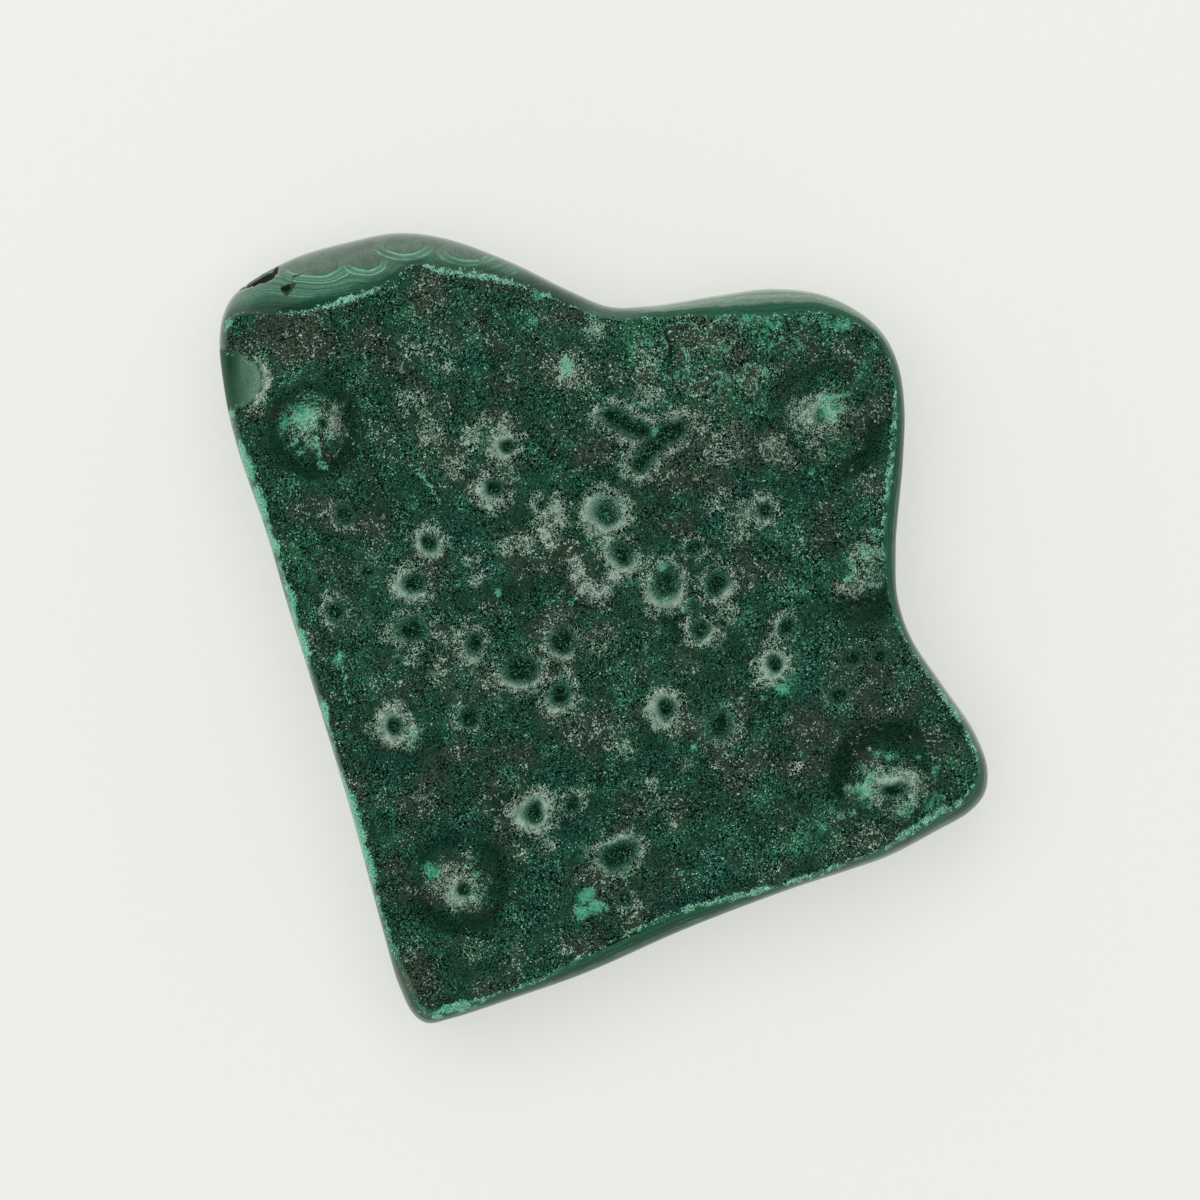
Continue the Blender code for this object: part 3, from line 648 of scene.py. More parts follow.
@dataclass
class MalachiteSlab:
    """The whole slab as one fine mesh, with the marks that its material reads.

    While it is built, it holds for each vertex its ring (0 on the natural face), its order round the
    perimeter, its place in mm, its distance inside the face's edge in mm, the nearest station of the
    perimeter and how deep it lies in the natural hollow.
    """

    form: SlabForm = field(default_factory=SlabForm)
    name: str = "malachite_stone"
    ring_step: float = 1.0
    seam_fade: float = 1.4
    far_outside: float = -20.0
    side_gleam: float = 0.35

    def template(self) -> bpy.types.Object:
        """A unit grid with its open edge extruded down, one step for each ring of the rim, side and back.

        Returns:
            The object, whose vertices still hold their grid place in X and Y and their ring in Z.
        """
        form = self.form
        bpy.ops.object.select_all(action="DESELECT")
        bpy.ops.mesh.primitive_grid_add(
            x_subdivisions=form.cells_across, y_subdivisions=form.cells_down, size=1.0
        )
        stone = bpy.context.active_object
        stone.name = stone.data.name = self.name
        bpy.ops.object.mode_set(mode="EDIT")
        bpy.ops.mesh.select_all(action="SELECT")
        bpy.ops.mesh.region_to_loop()
        step = {"value": (0.0, 0.0, -self.ring_step)}
        for _ in range(form.rim_rings + form.side_rings + len(form.back_insets)):
            bpy.ops.mesh.extrude_edges_move(TRANSFORM_OT_translate=step)
        bpy.ops.mesh.edge_face_add()
        bpy.ops.object.mode_set(mode="OBJECT")
        return stone

    def build(self) -> bpy.types.Object:
        """Makes the slab's mesh and its marks.

        Returns:
            The finished stone, at the origin, with its place in its mesh.
        """
        stone = self.template()
        self.place_face(stone)
        self.place_rings()
        self.hollow = CAVITY.cover(self.place + (*self.form.shift, 0.0)) * (self.ring > 0)
        self.place[:, :2] += self.form.inward[self.order] * (CAVITY.depth * self.hollow)[:, None]
        stone.data.vertices.foreach_set("co", (self.place * MM).ravel())
        stone.data.update()
        for name, values in self.marks().items():
            layer = stone.data.attributes.new(name, "FLOAT", "POINT")
            layer.data.foreach_set("value", values.astype(np.float32))
        bpy.ops.object.mode_set(mode="EDIT")
        bpy.ops.mesh.select_all(action="SELECT")
        bpy.ops.mesh.normals_make_consistent(inside=False)
        bpy.ops.object.mode_set(mode="OBJECT")
        stone.data.shade_smooth()
        self.crease_seam(stone)
        LOG.info("%s: %d vertices, %d faces", stone.name, len(self.place), len(stone.data.polygons))
        return stone

    def place_face(self, stone: bpy.types.Object) -> None:
        """Reads the template's grid and moves the natural face's vertices to their places and heights."""
        form = self.form
        grid = np.empty(len(stone.data.vertices) * 3)
        stone.data.vertices.foreach_get("co", grid)
        grid = grid.reshape(-1, 3)
        column = np.rint((grid[:, 0] + 0.5) * form.cells_across).astype(int)
        row = np.rint((0.5 - grid[:, 1]) * form.cells_down).astype(int)
        self.ring = np.rint(-grid[:, 2] / self.ring_step).astype(int)
        self.order = form.perimeter_order(row, column)
        self.place = np.zeros_like(grid)
        face = self.ring == 0
        self.place[face, :2] = form.face_places()[row[face], column[face]]
        self.measure_edge(np.flatnonzero(face))
        plan = form.plan(self.place[face])
        fade = smooth_step(self.edge[face], 0.0, self.seam_fade)
        fade = fade * smooth_step(form.scoop_reach(plan), 0.97, 1.15)
        self.place[face, 2] = form.base_height(plan) + form.fine_height(plan) * fade

    def measure_edge(self, face: np.ndarray) -> None:
        """Finds how far each vertex of the face is from the seam, and the station nearest to it."""
        tree = KDTree(len(self.form.place))
        for index, (x, y) in enumerate(self.form.inset(self.form.width)):
            tree.insert((x, y, 0.0), index)
        tree.balance()
        self.edge = np.zeros(len(self.place))
        self.nearest = self.order.copy()
        for index in face:
            _, self.nearest[index], self.edge[index] = tree.find(self.place[index])

    def place_rings(self) -> None:
        """Moves the rings of the rim, the side and the back to their places, with their edge distance."""
        form = self.form
        drop = form.rim_drop + form.rim_drop_per_width * form.width
        seam_height = form.base_height(form.plan(form.inset(form.width)))
        for step in range(1, form.rim_rings + 1):
            inset, fall = form.rim_profile(step / form.rim_rings, drop)
            self.move_ring(step, inset, seam_height - fall, inset - form.width)
        outside = np.full_like(drop, self.far_outside)
        for step in range(1, form.side_rings + 1):
            inset, height = form.side_profile(step / form.side_rings, seam_height - drop)
            self.move_ring(form.rim_rings + step, inset, height, outside)
        for step, inset in enumerate(form.back_insets, start=form.rim_rings + form.side_rings + 1):
            self.move_ring(step, inset, np.zeros_like(drop), outside)

    def move_ring(
        self, step: int, inset: np.ndarray | float, height: np.ndarray, edge: np.ndarray
    ) -> None:
        """Moves one ring of vertices to its inset and heights, and notes its edge distance."""
        chosen = self.ring == step
        order = self.order[chosen]
        self.place[chosen, :2] = self.form.inset(inset)[order]
        self.place[chosen, 2] = height[order]
        self.edge[chosen] = edge[order]

    def crease_seam(self, stone: bpy.types.Object) -> None:
        """Marks the seam between the natural face and the polished rim as sharp."""
        ends = np.empty(len(stone.data.edges) * 2, dtype=int)
        stone.data.edges.foreach_get("vertices", ends)
        ends = ends.reshape(-1, 2)
        rings = self.ring[ends]
        around = np.zeros(len(self.ring), dtype=int)
        rim_side = (rings.min(axis=1) == 0) & (rings.max(axis=1) == 1)
        np.add.at(around, ends[rim_side].ravel(), 1)
        on_seam = (self.ring == 0) & (around > 0)
        sharp = stone.data.attributes.new("sharp_edge", "BOOLEAN", "EDGE")
        sharp.data.foreach_set("value", on_seam[ends].all(axis=1))

    def marks(self) -> dict[str, np.ndarray]:
        """The marks that the material reads.

        Returns:
            One number for each vertex, by the mark's name.
        """
        form, ring = self.form, self.ring
        plan = form.plan(self.place)
        wavy = plan.wavy()
        x, y = plan.x, plan.y
        top = ring <= form.rim_rings
        at_left = top & (x < -50.0)
        # The rubbed, pale crater rims and patches carry wear and painted sheen.
        wear_and_sheen, pit = most(WEAR_AND_SHEEN_PATCHES, wavy), np.zeros_like(x)
        # low: painted shade in the growth valleys, the knobs' moats and the rings outside the crater rims.
        low = 0.7 * smooth_step(-form.growth(plan), 0.12, 0.5)
        uneven = 1.0 + 0.45 * plan.lumps(2.6, 31)
        for crater in CRATERS:
            wear_and_sheen = np.maximum(wear_and_sheen, crater.gloss * crater.crest(wavy) * uneven)
            pit = np.maximum(pit, crater.depth * crater.bowl(wavy))
            low = np.maximum(low, 0.4 * crater.gloss * crater.trough(wavy))
        low = np.maximum(low, most(PAINTED_SHADES, wavy))
        scoop_edge = (form.scoop_reach(plan) - 1.0) * form.scoop_half_length + 1.0
        # lip: a painted highlight along the scoop's edge, laid into the sheen mark.
        lip = bell(scoop_edge - 0.5, 0.62) * smooth_step(x, -60.0, -57.0) * smooth_step(-y, -46.5, -44.0)
        edge = self.edge + 2.6 * np.exp(-(((x + 31.2) / 2.4) ** 2) - ((y - 58.2) / 3.2) ** 2)
        below = smooth_step(ring - form.rim_rings, 0.0, 4.0)
        return {
            "wear_and_sheen": np.maximum(wear_and_sheen * (1.0 - 0.6 * smooth_step(pit, 0.35, 0.8)), lip) * top,
            "pit": pit * top,
            "low": low * (1.0 - smooth_step(wear_and_sheen, 0.2, 0.6)) * top,
            "mint": most(MINT_PATCHES, wavy) * top,
            "vein": most(VEINS, wavy) * top,
            "brown": most(BROWN_PATCHES, plan) * top,
            "lace": most(LACE_PATCHES, plan) * top,
            "light": most(LIGHT_PATCHES, wavy) * top,
            "edge": np.where(at_left, np.minimum(edge, scoop_edge), edge),
            "crust": (form.crust[self.nearest] + most(EDGE_PATCHES, plan)) * top,
            "shift": -0.1 + 0.65 * smooth_step(-x - 0.29 * y, 36.0, 42.0),
            "gleam": form.gleam[self.nearest] * (1.0 - below) + self.side_gleam * below,
            "fall": np.clip(ring / form.rim_rings, 0.0, 1.0),
            "crack": np.maximum(most(CRACKS, plan) * top, self.hollow * 1.6),
            "scoop": np.clip(0.2 - scoop_edge, 0.0, 1.0) * at_left,
        }


# ----------------------------------------------------------------------------------------------
# Materials


class Value:
    """A socket that carries a number, on which Python's operators add Math nodes."""

    def __init__(self, shader: "Shader", socket: bpy.types.NodeSocket) -> None:
        """Wraps a socket of a shader."""
        self.shader = shader
        self.socket = socket

    def math(self, operation: str, *others: "Value | float", clamp: bool = False) -> "Value":
        """Adds one Math node.

        Args:
            operation: the Math node's operation.
            others: its further inputs.
            clamp: whether the result is held between 0 and 1.

        Returns:
            The node's result.
        """
        values = dict(enumerate((self, *others)))
        node = self.shader.node("ShaderNodeMath", {"operation": operation, "use_clamp": clamp}, values)
        return Value(self.shader, node.outputs[0])

    __add__ = __radd__ = partialmethod(math, "ADD")
    __sub__ = partialmethod(math, "SUBTRACT")
    __mul__ = __rmul__ = partialmethod(math, "MULTIPLY")
    __pow__ = partialmethod(math, "POWER")
    most = partialmethod(math, "MAXIMUM")
    size = partialmethod(math, "ABSOLUTE")

    def __rsub__(self, other: float) -> "Value":
        """A number less this."""
        return (self * -1.0) + other

    def held(self) -> "Value":
        """Held between 0 and 1."""
        return self.math("ADD", 0.0, clamp=True)

    def step(self, low: float, high: float) -> "Value":
        """Rises smoothly from 0 at low to 1 at high."""
        settings = {"interpolation_type": "SMOOTHSTEP"}
        values = {"Value": self, "From Min": low, "From Max": high}
        return Value(self.shader, self.shader.node("ShaderNodeMapRange", settings, values).outputs[0])


class Shader:
    """One material's node tree."""

    def __init__(self, name: str) -> None:
        """Starts an empty material."""
        self.material = bpy.data.materials.new(name)
        self.material.use_nodes = True
        self.tree = self.material.node_tree
        self.tree.nodes.clear()
        self.place = self.node("ShaderNodeTexCoord").outputs["Object"]

    def node(self, kind: str, settings: dict | None = None, values: dict | None = None) -> bpy.types.Node:
        """Adds a node.

        Args:
            kind: the node's type.
            settings: its properties, set first. "stops" gives a colour ramp's places and colours.
            values: numbers, colours, sockets or Values for its inputs, by name or position.

        Returns:
            The node.
        """
        node = self.tree.nodes.new(kind)
        for name, setting in (settings or {}).items():
            if name == "stops":
                self.set_stops(node.color_ramp, setting)
            else:
                setattr(node, name, setting)
        for name, value in (values or {}).items():
            value = value.socket if isinstance(value, Value) else value
            if isinstance(value, bpy.types.NodeSocket):
                self.tree.links.new(value, node.inputs[name])
            else:
                node.inputs[name].default_value = value
        return node

    @staticmethod
    def set_stops(ramp: bpy.types.ColorRamp, stops: tuple) -> None:
        """Gives a colour ramp its stops."""
        while len(ramp.elements) > 1:
            ramp.elements.remove(ramp.elements[-1])
        for index, (place, colour) in enumerate(stops):
            element = ramp.elements[0] if index == 0 else ramp.elements.new(place)
            element.position = place
            element.color = colour

    def mark(self, name: str) -> Value:
        """A number that the mesh holds for each vertex."""
        return Value(self, self.node("ShaderNodeAttribute", {"attribute_name": name}).outputs["Fac"])

    def noise(self, size: float, detail: float) -> Value:
        """Soft noise between 0 and 1, with lumps of a size in mm."""
        values = {"Vector": self.place, "Scale": 1.0 / (size * MM), "Detail": detail}
        return Value(self, self.node("ShaderNodeTexNoise", None, values).outputs["Fac"])

    def bands(self, growth: Value, scale: float, detail: float) -> Value:
        """Soft bands between 0 and 1 that follow one growth number."""
        values = {"W": growth, "Scale": scale, "Detail": detail}
        return Value(self, self.node("ShaderNodeTexNoise", {"noise_dimensions": "1D"}, values).outputs["Fac"])

    def grains(self, size: float) -> tuple[Value, Value, Value]:
        """Three random numbers for each crystal grain, with grains of a size in mm."""
        cells = self.node("ShaderNodeTexVoronoi", None, {"Vector": self.place, "Scale": 1.0 / (size * MM)})
        parts = self.node("ShaderNodeSeparateColor", None, {"Color": cells.outputs["Color"]})
        return tuple(Value(self, part) for part in parts.outputs)

    def mix(self, share: Value | float, first: object, second: object) -> bpy.types.NodeSocket:
        """Mixes two colours, each a socket or a tint."""
        values = {"Factor": share, 6: first, 7: second}
        return self.node("ShaderNodeMix", {"data_type": "RGBA"}, values).outputs[2]

    def scaled(self, colour: object, factor: Value) -> bpy.types.NodeSocket:
        """A colour times a number."""
        if isinstance(colour, tuple):
            colour = colour[:3]
        node = self.node("ShaderNodeVectorMath", {"operation": "SCALE"}, {0: colour, "Scale": factor})
        return node.outputs[0]

    def finish(self, kind: str, values: dict) -> bpy.types.Material:
        """Adds the surface's shader and the output.

        Args:
            kind: the shader node's type.
            values: its inputs.

        Returns:
            The finished material.
        """
        surface = self.node(kind, None, values)
        self.node("ShaderNodeOutputMaterial", None, {0: surface.outputs[0]})
        return self.material


def tint(red: int, green: int, blue: int) -> tuple[float, float, float, float]:
    """A colour given as on a screen, from 0 to 255, in the linear form that shaders take."""
    parts = [value / 255.0 for value in (red, green, blue)]
    linear = [v / 12.92 if v <= 0.04045 else ((v + 0.055) / 1.055) ** 2.4 for v in parts]
    return (*linear, 1.0)


@dataclass(frozen=True)
class MalachiteTints:
    """The colours of malachite, from its dark ground to its palest crust, with tints for painted sheen,
    glints, reflection and shade, and its sizes of grain in mm.
    """

    bottle: tuple = tint(39, 76, 58)
    leaf: tuple = tint(46, 106, 78)
    lagoon: tuple = tint(30, 80, 72)
    umber: tuple = tint(67, 81, 68)
    soot: tuple = tint(2, 10, 6)
    shade_moss: tuple = tint(18, 50, 37)
    sheen_grey: tuple = tint(88, 124, 104)
    pale: tuple = tint(220, 250, 230)
    sheen_veil: tuple = tint(92, 130, 110)
    sheen_veil_pale: tuple = tint(216, 238, 218)
    blush: tuple = tint(84, 150, 122)
    mint_deep: tuple = tint(24, 128, 92)
    mint: tuple = tint(60, 190, 142)
    mint_pale: tuple = tint(160, 230, 200)
    festoon: tuple = tint(50, 108, 84)
    festoon_pale: tuple = tint(98, 154, 126)
    thread: tuple = tint(108, 166, 138)
    bevel_sheen: tuple = tint(82, 110, 96)
    bevel_sheen_pale: tuple = tint(104, 122, 108)
    arc: tuple = tint(132, 196, 164)
    bevel_foot: tuple = tint(8, 62, 42)
    trim: tuple = tint(10, 64, 42)
    trim_pale: tuple = tint(36, 104, 76)
    streak: tuple = tint(86, 168, 134)
    olive: tuple = tint(44, 62, 42)
    olive_pale: tuple = tint(84, 98, 72)
    rim_reflection: tuple = tint(104, 140, 120)
    rim_reflection_pale: tuple = tint(142, 172, 154)
    earth: tuple = tint(58, 76, 48)
    hole: tuple = tint(5, 16, 11)
    scoop: tuple = tint(30, 76, 54)
    scoop_lit: tuple = tint(110, 150, 126)
    scoop_streak: tuple = tint(104, 138, 118)
    bands: tuple = (
        (0.30, tint(4, 44, 30)),
        (0.44, tint(8, 66, 46)),
        (0.50, tint(20, 88, 66)),
        (0.55, tint(12, 74, 52)),
        (0.62, tint(48, 116, 92)),
        (0.70, tint(96, 156, 128)),
    )
    grain_size: float = 0.17
    fleck_size: float = 0.36


class Coat:
    """A colour built up in layers on a shader."""

    def __init__(self, s: Shader, tints: MalachiteTints) -> None:
        """Reads the random numbers of the crystal grains; a subclass gives the first colour."""
        self.s, self.tints = s, tints
        self.shade, self.chance, self.tone = s.grains(tints.grain_size)
        self.colour = tints.bottle

    def lay(self, share: Value | float, colour: object) -> None:
        """Lays a colour over what is there, by a share."""
        self.colour = self.s.mix(share, self.colour, colour)


class NaturalCoat(Coat):
    """The natural face: a velvety crust of crystals over a dark green ground."""

    def __init__(self, s: Shader, tints: MalachiteTints) -> None:
        """Reads what the layers share and lays them all."""
        super().__init__(s, tints)
        self.clump, self.clump_tone, self.clump_pick = s.grains(tints.fleck_size)
        self.cloud, self.mottle = s.noise(4.2, 4.0), s.noise(1.3, 3.0)
        self.drift, self.tide = s.noise(13.0, 3.0), s.noise(6.5, 3.0)
        names = ("pit", "low", "lace", "light")
        self.pit, self.low, self.laced, self.light = (s.mark(name) for name in names)
        self.inner = self.pit.step(0.015, 0.15)
        raw_wear_and_sheen = s.mark("wear_and_sheen")
        self.wear_and_sheen = (raw_wear_and_sheen + (self.mottle - 0.5) * raw_wear_and_sheen.step(0.0, 0.3) * (1.0 - self.inner) * 1.2).held()
        self.sleek = self.inner * self.wear_and_sheen.step(0.3, 0.75)
        brown = s.mark("brown") * 1.1 + (self.drift - 0.5) * 1.6 + (self.tide - 0.5) * 2.0 + 0.12
        self.brown = brown.step(0.0, 0.9)
        self.dull = (s.noise(3.3, 2.0) - 0.5).step(-0.1, 0.14)
        self.lay_ground()
        self.lay_crystals()
        self.lay_wear_and_sheen()
        self.lay_pits()
        self.lay_mint()
        self.lay_threads()

    def lay_ground(self) -> None:
        """Dark green with browner, bluer and lighter areas, grain by grain, then painted shade in the valleys
        and moats and painted sheen on the rims.
        """
        s, tints = self.s, self.tints
        green = (self.cloud * 0.7 + self.mottle * 0.5 - self.brown * 0.12).step(0.50, 0.78)
        self.lay(green, tints.leaf)
        self.lay((0.46 - self.drift).step(0.0, 0.12) * 0.5, tints.lagoon)
        self.lay(self.brown * 0.8, tints.umber)
        even = s.scaled(self.colour, self.laced * 0.35 + self.light * 1.3 + 1.0)
        plain = s.scaled(even, self.shade * 0.6 + 0.5)
        self.colour = s.scaled(even, (self.shade**2.0) * 2.85 + 0.22)
        self.lay(self.dull * 0.85, plain)
        # Painted shade in the valleys and moats.
        self.lay(self.low.step(0.2, 1.0) * 0.8, s.scaled(tints.shade_moss, self.shade * 1.2 + 0.4))
        # Painted sheen: a smooth pale grey over the rubbed rims.
        self.lay(self.wear_and_sheen.step(0.2, 0.95) * 0.6, tints.sheen_grey)

    def lay_crystals(self) -> None:
        """Single bright crystals, in chains and clumps: the pale grey ones are painted glints, the fresh
        green ones the stone's own colour.
        """
        s, tints = self.s, self.tints
        thick = (self.cloud - 0.5).step(-0.02, 0.2)
        swarm = (self.tide - 0.5).step(-0.02, 0.12) * (self.drift + self.cloud - 1.0).step(-0.1, 0.1)
        chain = 1.0 - (s.noise(2.4, 2.0) - 0.5).size().step(0.0, 0.06)
        share = 0.048 + self.light * 0.08 + self.laced * 0.06 + thick * 0.1 + chain * swarm * 0.22
        share = share - self.low * 0.1 - self.pit * 0.1
        lit = ((share + self.tone - 1.0) * 20.0).held()
        glint_clumps = ((chain * swarm * 0.24 + self.clump - 1.0) * 14.0).held() * (1.0 - self.low * 0.6)
        fresh = (self.clump_pick + (self.cloud - 0.5) * 1.6).step(0.6, 0.75) * (1.0 - self.brown * 0.7)
        # Painted glints: pale grey specks where crystal faces would catch the light.
        white = s.mix(self.shade, tints.sheen_grey, tints.pale)
        self.lay(lit, s.mix(fresh, white, s.mix(self.shade, tints.mint_deep, tints.mint_pale)))
        clumped = self.clump_tone * 0.5 + self.shade * 0.5
        self.lay(glint_clumps * (1.0 - self.inner), s.mix(clumped, tints.sheen_grey, tints.pale))

    def lay_wear_and_sheen(self) -> None:
        """Pale rubbed grains with painted sheen on the crater rims, and dark gaps between grains everywhere.
        """
        s, tints = self.s, self.tints
        # Painted sheen: pale grains on the rims, greener towards the pits.
        sheen_grain = (self.mottle - 0.5).step(-0.08, 0.16) * 0.35 + self.shade * 0.65
        sheen_grain = s.mix(sheen_grain, tints.sheen_veil, tints.sheen_veil_pale)
        sheen_grain = s.mix(self.pit.step(0.03, 0.3) * 0.6, sheen_grain, tints.blush)
        shown = (self.chance + self.wear_and_sheen * 0.75 + self.sleek * 0.35).step(0.86, 0.94)
        self.lay(self.wear_and_sheen.step(0.03, 0.25) * shown * 0.85, sheen_grain)
        gaps = 0.36 - self.dull * 0.24 + self.wear_and_sheen.step(0.02, 0.3) * 0.08
        gaps = gaps - self.wear_and_sheen.step(0.4, 0.9) * 0.3 - self.low * 0.14 - self.sleek * 0.25
        self.lay(((gaps - self.chance) * 20.0).held(), tints.soot)

    def lay_pits(self) -> None:
        """Smooth green flanks of the pits, and painted shade on their floors."""
        flank = self.pit.step(0.1, 0.4) * (1.0 - self.pit.step(0.4, 0.8))
        self.lay(flank * 0.45, self.s.scaled(self.tints.blush, self.shade * 0.5 + 0.3))
        # Painted shade on the pit floors.
        floor = self.s.scaled(self.tints.shade_moss, (self.shade**2.0) * 1.9 + 0.12)
        self.lay(self.pit.step(0.2, 0.8) * 0.92, floor)

    def lay_mint(self) -> None:
        """Mint green dust and veins, whitened with painted sheen where they lie on the rims."""
        s, tints = self.s, self.tints
        spark = self.pit.step(0.35, 0.6) * (self.tone - 0.8).step(0.0, 0.06)
        spark = spark * self.clump_pick.step(0.3, 0.6)
        minted, veined = s.mark("mint"), s.mark("vein")
        dust = minted + (self.mottle - 0.5) * 0.8 + (self.clump - 0.5) * 0.35 + (self.shade - 0.5) * 0.45
        dust = dust.step(0.32, 0.85) * minted.step(0.03, 0.25)
        vein = veined + (self.mottle - 0.5) * 1.8 + (self.clump - 0.5) * 0.8 + (self.shade - 0.5) * 0.6
        vein = vein.step(0.65, 0.95) * veined.step(0.05, 0.3)
        powder = s.mix(self.clump_tone * 0.5 + self.shade * 0.5, tints.mint_deep, tints.mint_pale)
        # Painted sheen whitens the dust on the rims.
        sugar = (self.chance + self.mottle * 0.5).step(0.6, 1.0) * self.wear_and_sheen.step(0.1, 0.4) * 0.5
        powder = s.mix(sugar, s.mix(self.tone, tints.mint, powder), tints.sheen_veil_pale)
        self.lay((dust * (self.shade * 0.3 + 0.7)).most(spark * 0.6), powder)
        self.lay(vein * 0.75, s.mix(self.tone, tints.mint, tints.mint_pale))

    def lay_threads(self) -> None:
        """Green threads that cross the face in cells, and dark grooves."""
        s, tints = self.s, self.tints
        thread = (self.tide * 5.0 + self.mottle * 0.3).math("PINGPONG", 0.5) + (self.chance - 0.5) * 0.05
        lace = (self.laced + (self.drift - 0.5) * 1.2).step(0.2, 0.6)
        lace = lace * (self.mottle + (self.shade - 0.5) * 0.3).step(0.38, 0.52)
        lace = lace * (1.0 - thread.step(0.03, 0.13))
        self.lay(lace * 0.92, s.mix(self.tone**1.7, tints.mint_deep, tints.mint_pale))
        groove = (s.mark("crack") * (1.0 - self.wear_and_sheen * 0.4) + (self.mottle - 0.5) * 0.6).step(0.3, 0.7)
        self.lay(groove * 0.7, tints.soot)

    def height(self) -> Value:
        """Height of the crystals, calmer on the rubbed, sheened rims and in the moats."""
        calm = (self.wear_and_sheen * 0.8).most(self.low * 0.8)
        return (self.shade * 0.4 + self.mottle * 0.6 + self.clump * 0.3) * (1.0 - calm * 0.7)


class PolishedCoat(Coat):
    """The polished stone: bands, the wide bevel's growth eyes, the rim, the cracks and the scoop."""

    def __init__(self, s: Shader, tints: MalachiteTints) -> None:
        """Reads what the layers share and lays them all."""
        super().__init__(s, tints)
        parts = s.node("ShaderNodeSeparateXYZ", None, {0: s.place}).outputs
        self.x, self.y, self.z = (Value(s, part) * (1.0 / MM) for part in parts)
        self.warp, self.waver = s.noise(9.0, 2.0), s.noise(2.6, 3.0)
        self.fall, self.edge = s.mark("fall"), s.mark("edge")
        x, y, z = self.x, self.y, self.z
        right_of_end = x.step(-60.0, -53.0)
        scallop, self.arcs, self.over = self.eyes()
        beside = (self.edge * 0.8 + 6.5 + (self.waver - 0.5) * 0.8) * (1.0 - right_of_end)
        self.scallop = scallop * right_of_end + beside
        self.on_bevel = (y + x * 0.1).step(37.0, 41.0) * z.step(10.0, 15.5) * (x * -1.0).step(0.0, 6.0)
        self.crown = x.step(3.0, 9.0) * y.step(44.0, 49.0) * z.step(12.0, 19.0)
        self.lay_bands()
        self.lay_bevel()
        self.lay_rim()
        self.lay_cracks()
        self.lay_scoop()

    def eyes(self) -> tuple[Value, Value, Value]:
        """Reads the growth eyes of the wide bevel.

        Returns:
            The distance in mm outside the nearest eye, the arcs under the eyes and the calm over them.
        """
        x, y = self.x + (self.waver - 0.5) * 1.4, self.y + (self.warp - 0.5) * 1.4
        nearest, arcs, over = None, None, None
        for eye_x, eye_y, half_width, half_height in BEVEL_EYES:
            across = (x - eye_x) * (1.0 / half_width)
            up = (y - eye_y) * (1.0 / half_height)
            away = ((across * across + up * up) ** 0.5 - 1.0) * half_height
            first = 1.0 - away.size().step(0.05, 0.2)
            second = 1.0 - (away - 0.5 * half_height).size().step(0.04, 0.16)
            arc = (first + second * 0.8) * (up * -1.0).step(0.3, 0.9)
            calm = (up + 0.1).step(-0.4, 0.3) * (1.0 - away.step(1.0, 2.4))
            nearest = away if nearest is None else nearest.math("SMOOTH_MIN", away, 0.9)
            arcs = arc if arcs is None else arcs.most(arc)
            over = calm if over is None else over.most(calm)
        return nearest, arcs, over

    def lay_bands(self) -> None:
        """Dark and light green bands, which follow the layers of growth."""
        s = self.s
        flat = s.node("ShaderNodeCombineXYZ", None, {0: self.x, 1: self.y}).outputs[0]
        columns = s.node(
            "ShaderNodeTexVoronoi",
            {"feature": "SMOOTH_F1", "voronoi_dimensions": "2D"},
            {"Vector": flat, "Scale": 1.0 / 13.0, "Smoothness": 0.35},
        )
        away = Value(s, columns.outputs["Distance"])
        layer = self.z * 0.16 + away * away * 4.2 + self.warp * 0.9
        growth = layer + (self.scallop * 0.42 - layer) * self.on_bevel
        tone = s.bands(growth, 1.1, 2.0) * 0.55 + s.bands(growth, 5.5, 3.0) * 0.45
        self.colour = s.node("ShaderNodeValToRGB", {"stops": self.tints.bands}, {0: tone}).outputs[0]

    def lay_bevel(self) -> None:
        """The wide bevel: festoons round its growth eyes, threads, a band of painted sheen on its outer slope
        and over the eyes, arcs and a dark foot.
        """
        s, tints, waver, warp = self.s, self.tints, self.waver, self.warp
        scallop, on_bevel = self.scallop, self.on_bevel
        hair = s.bands(scallop, 2.6, 3.0).step(0.36, 0.64)
        pale = on_bevel * (1.0 - scallop.step(1.5, 6.0))
        self.lay(pale * 0.9, s.mix(hair, tints.festoon, tints.festoon_pale))
        threads = s.bands(scallop, 2.2, 1.0).step(0.58, 0.66) * (waver * 0.6 + warp * 0.6).step(0.52, 0.68)
        self.lay(threads * on_bevel * (1.0 - scallop.step(4.0, 8.0)) * 0.8, tints.thread)
        # Painted sheen: a smoky grey-green reflection on the outer bevel and over the eyes.
        brow = self.fall.step(0.42, 0.7).most(1.0 - scallop.step(-0.3, 0.1)).most(self.over) * on_bevel
        self.lay(brow * 0.85, s.mix(waver.step(0.4, 0.6), tints.bevel_sheen, tints.bevel_sheen_pale))
        self.lay(self.arcs * on_bevel * (warp * 0.6 + waver * 0.6).step(0.42, 0.6), tints.arc)
        foot = on_bevel * (1.0 - (self.edge * -1.0 + (waver - 0.5) * 1.5).step(0.6, 2.8))
        self.lay(foot * 0.8, tints.bevel_foot)

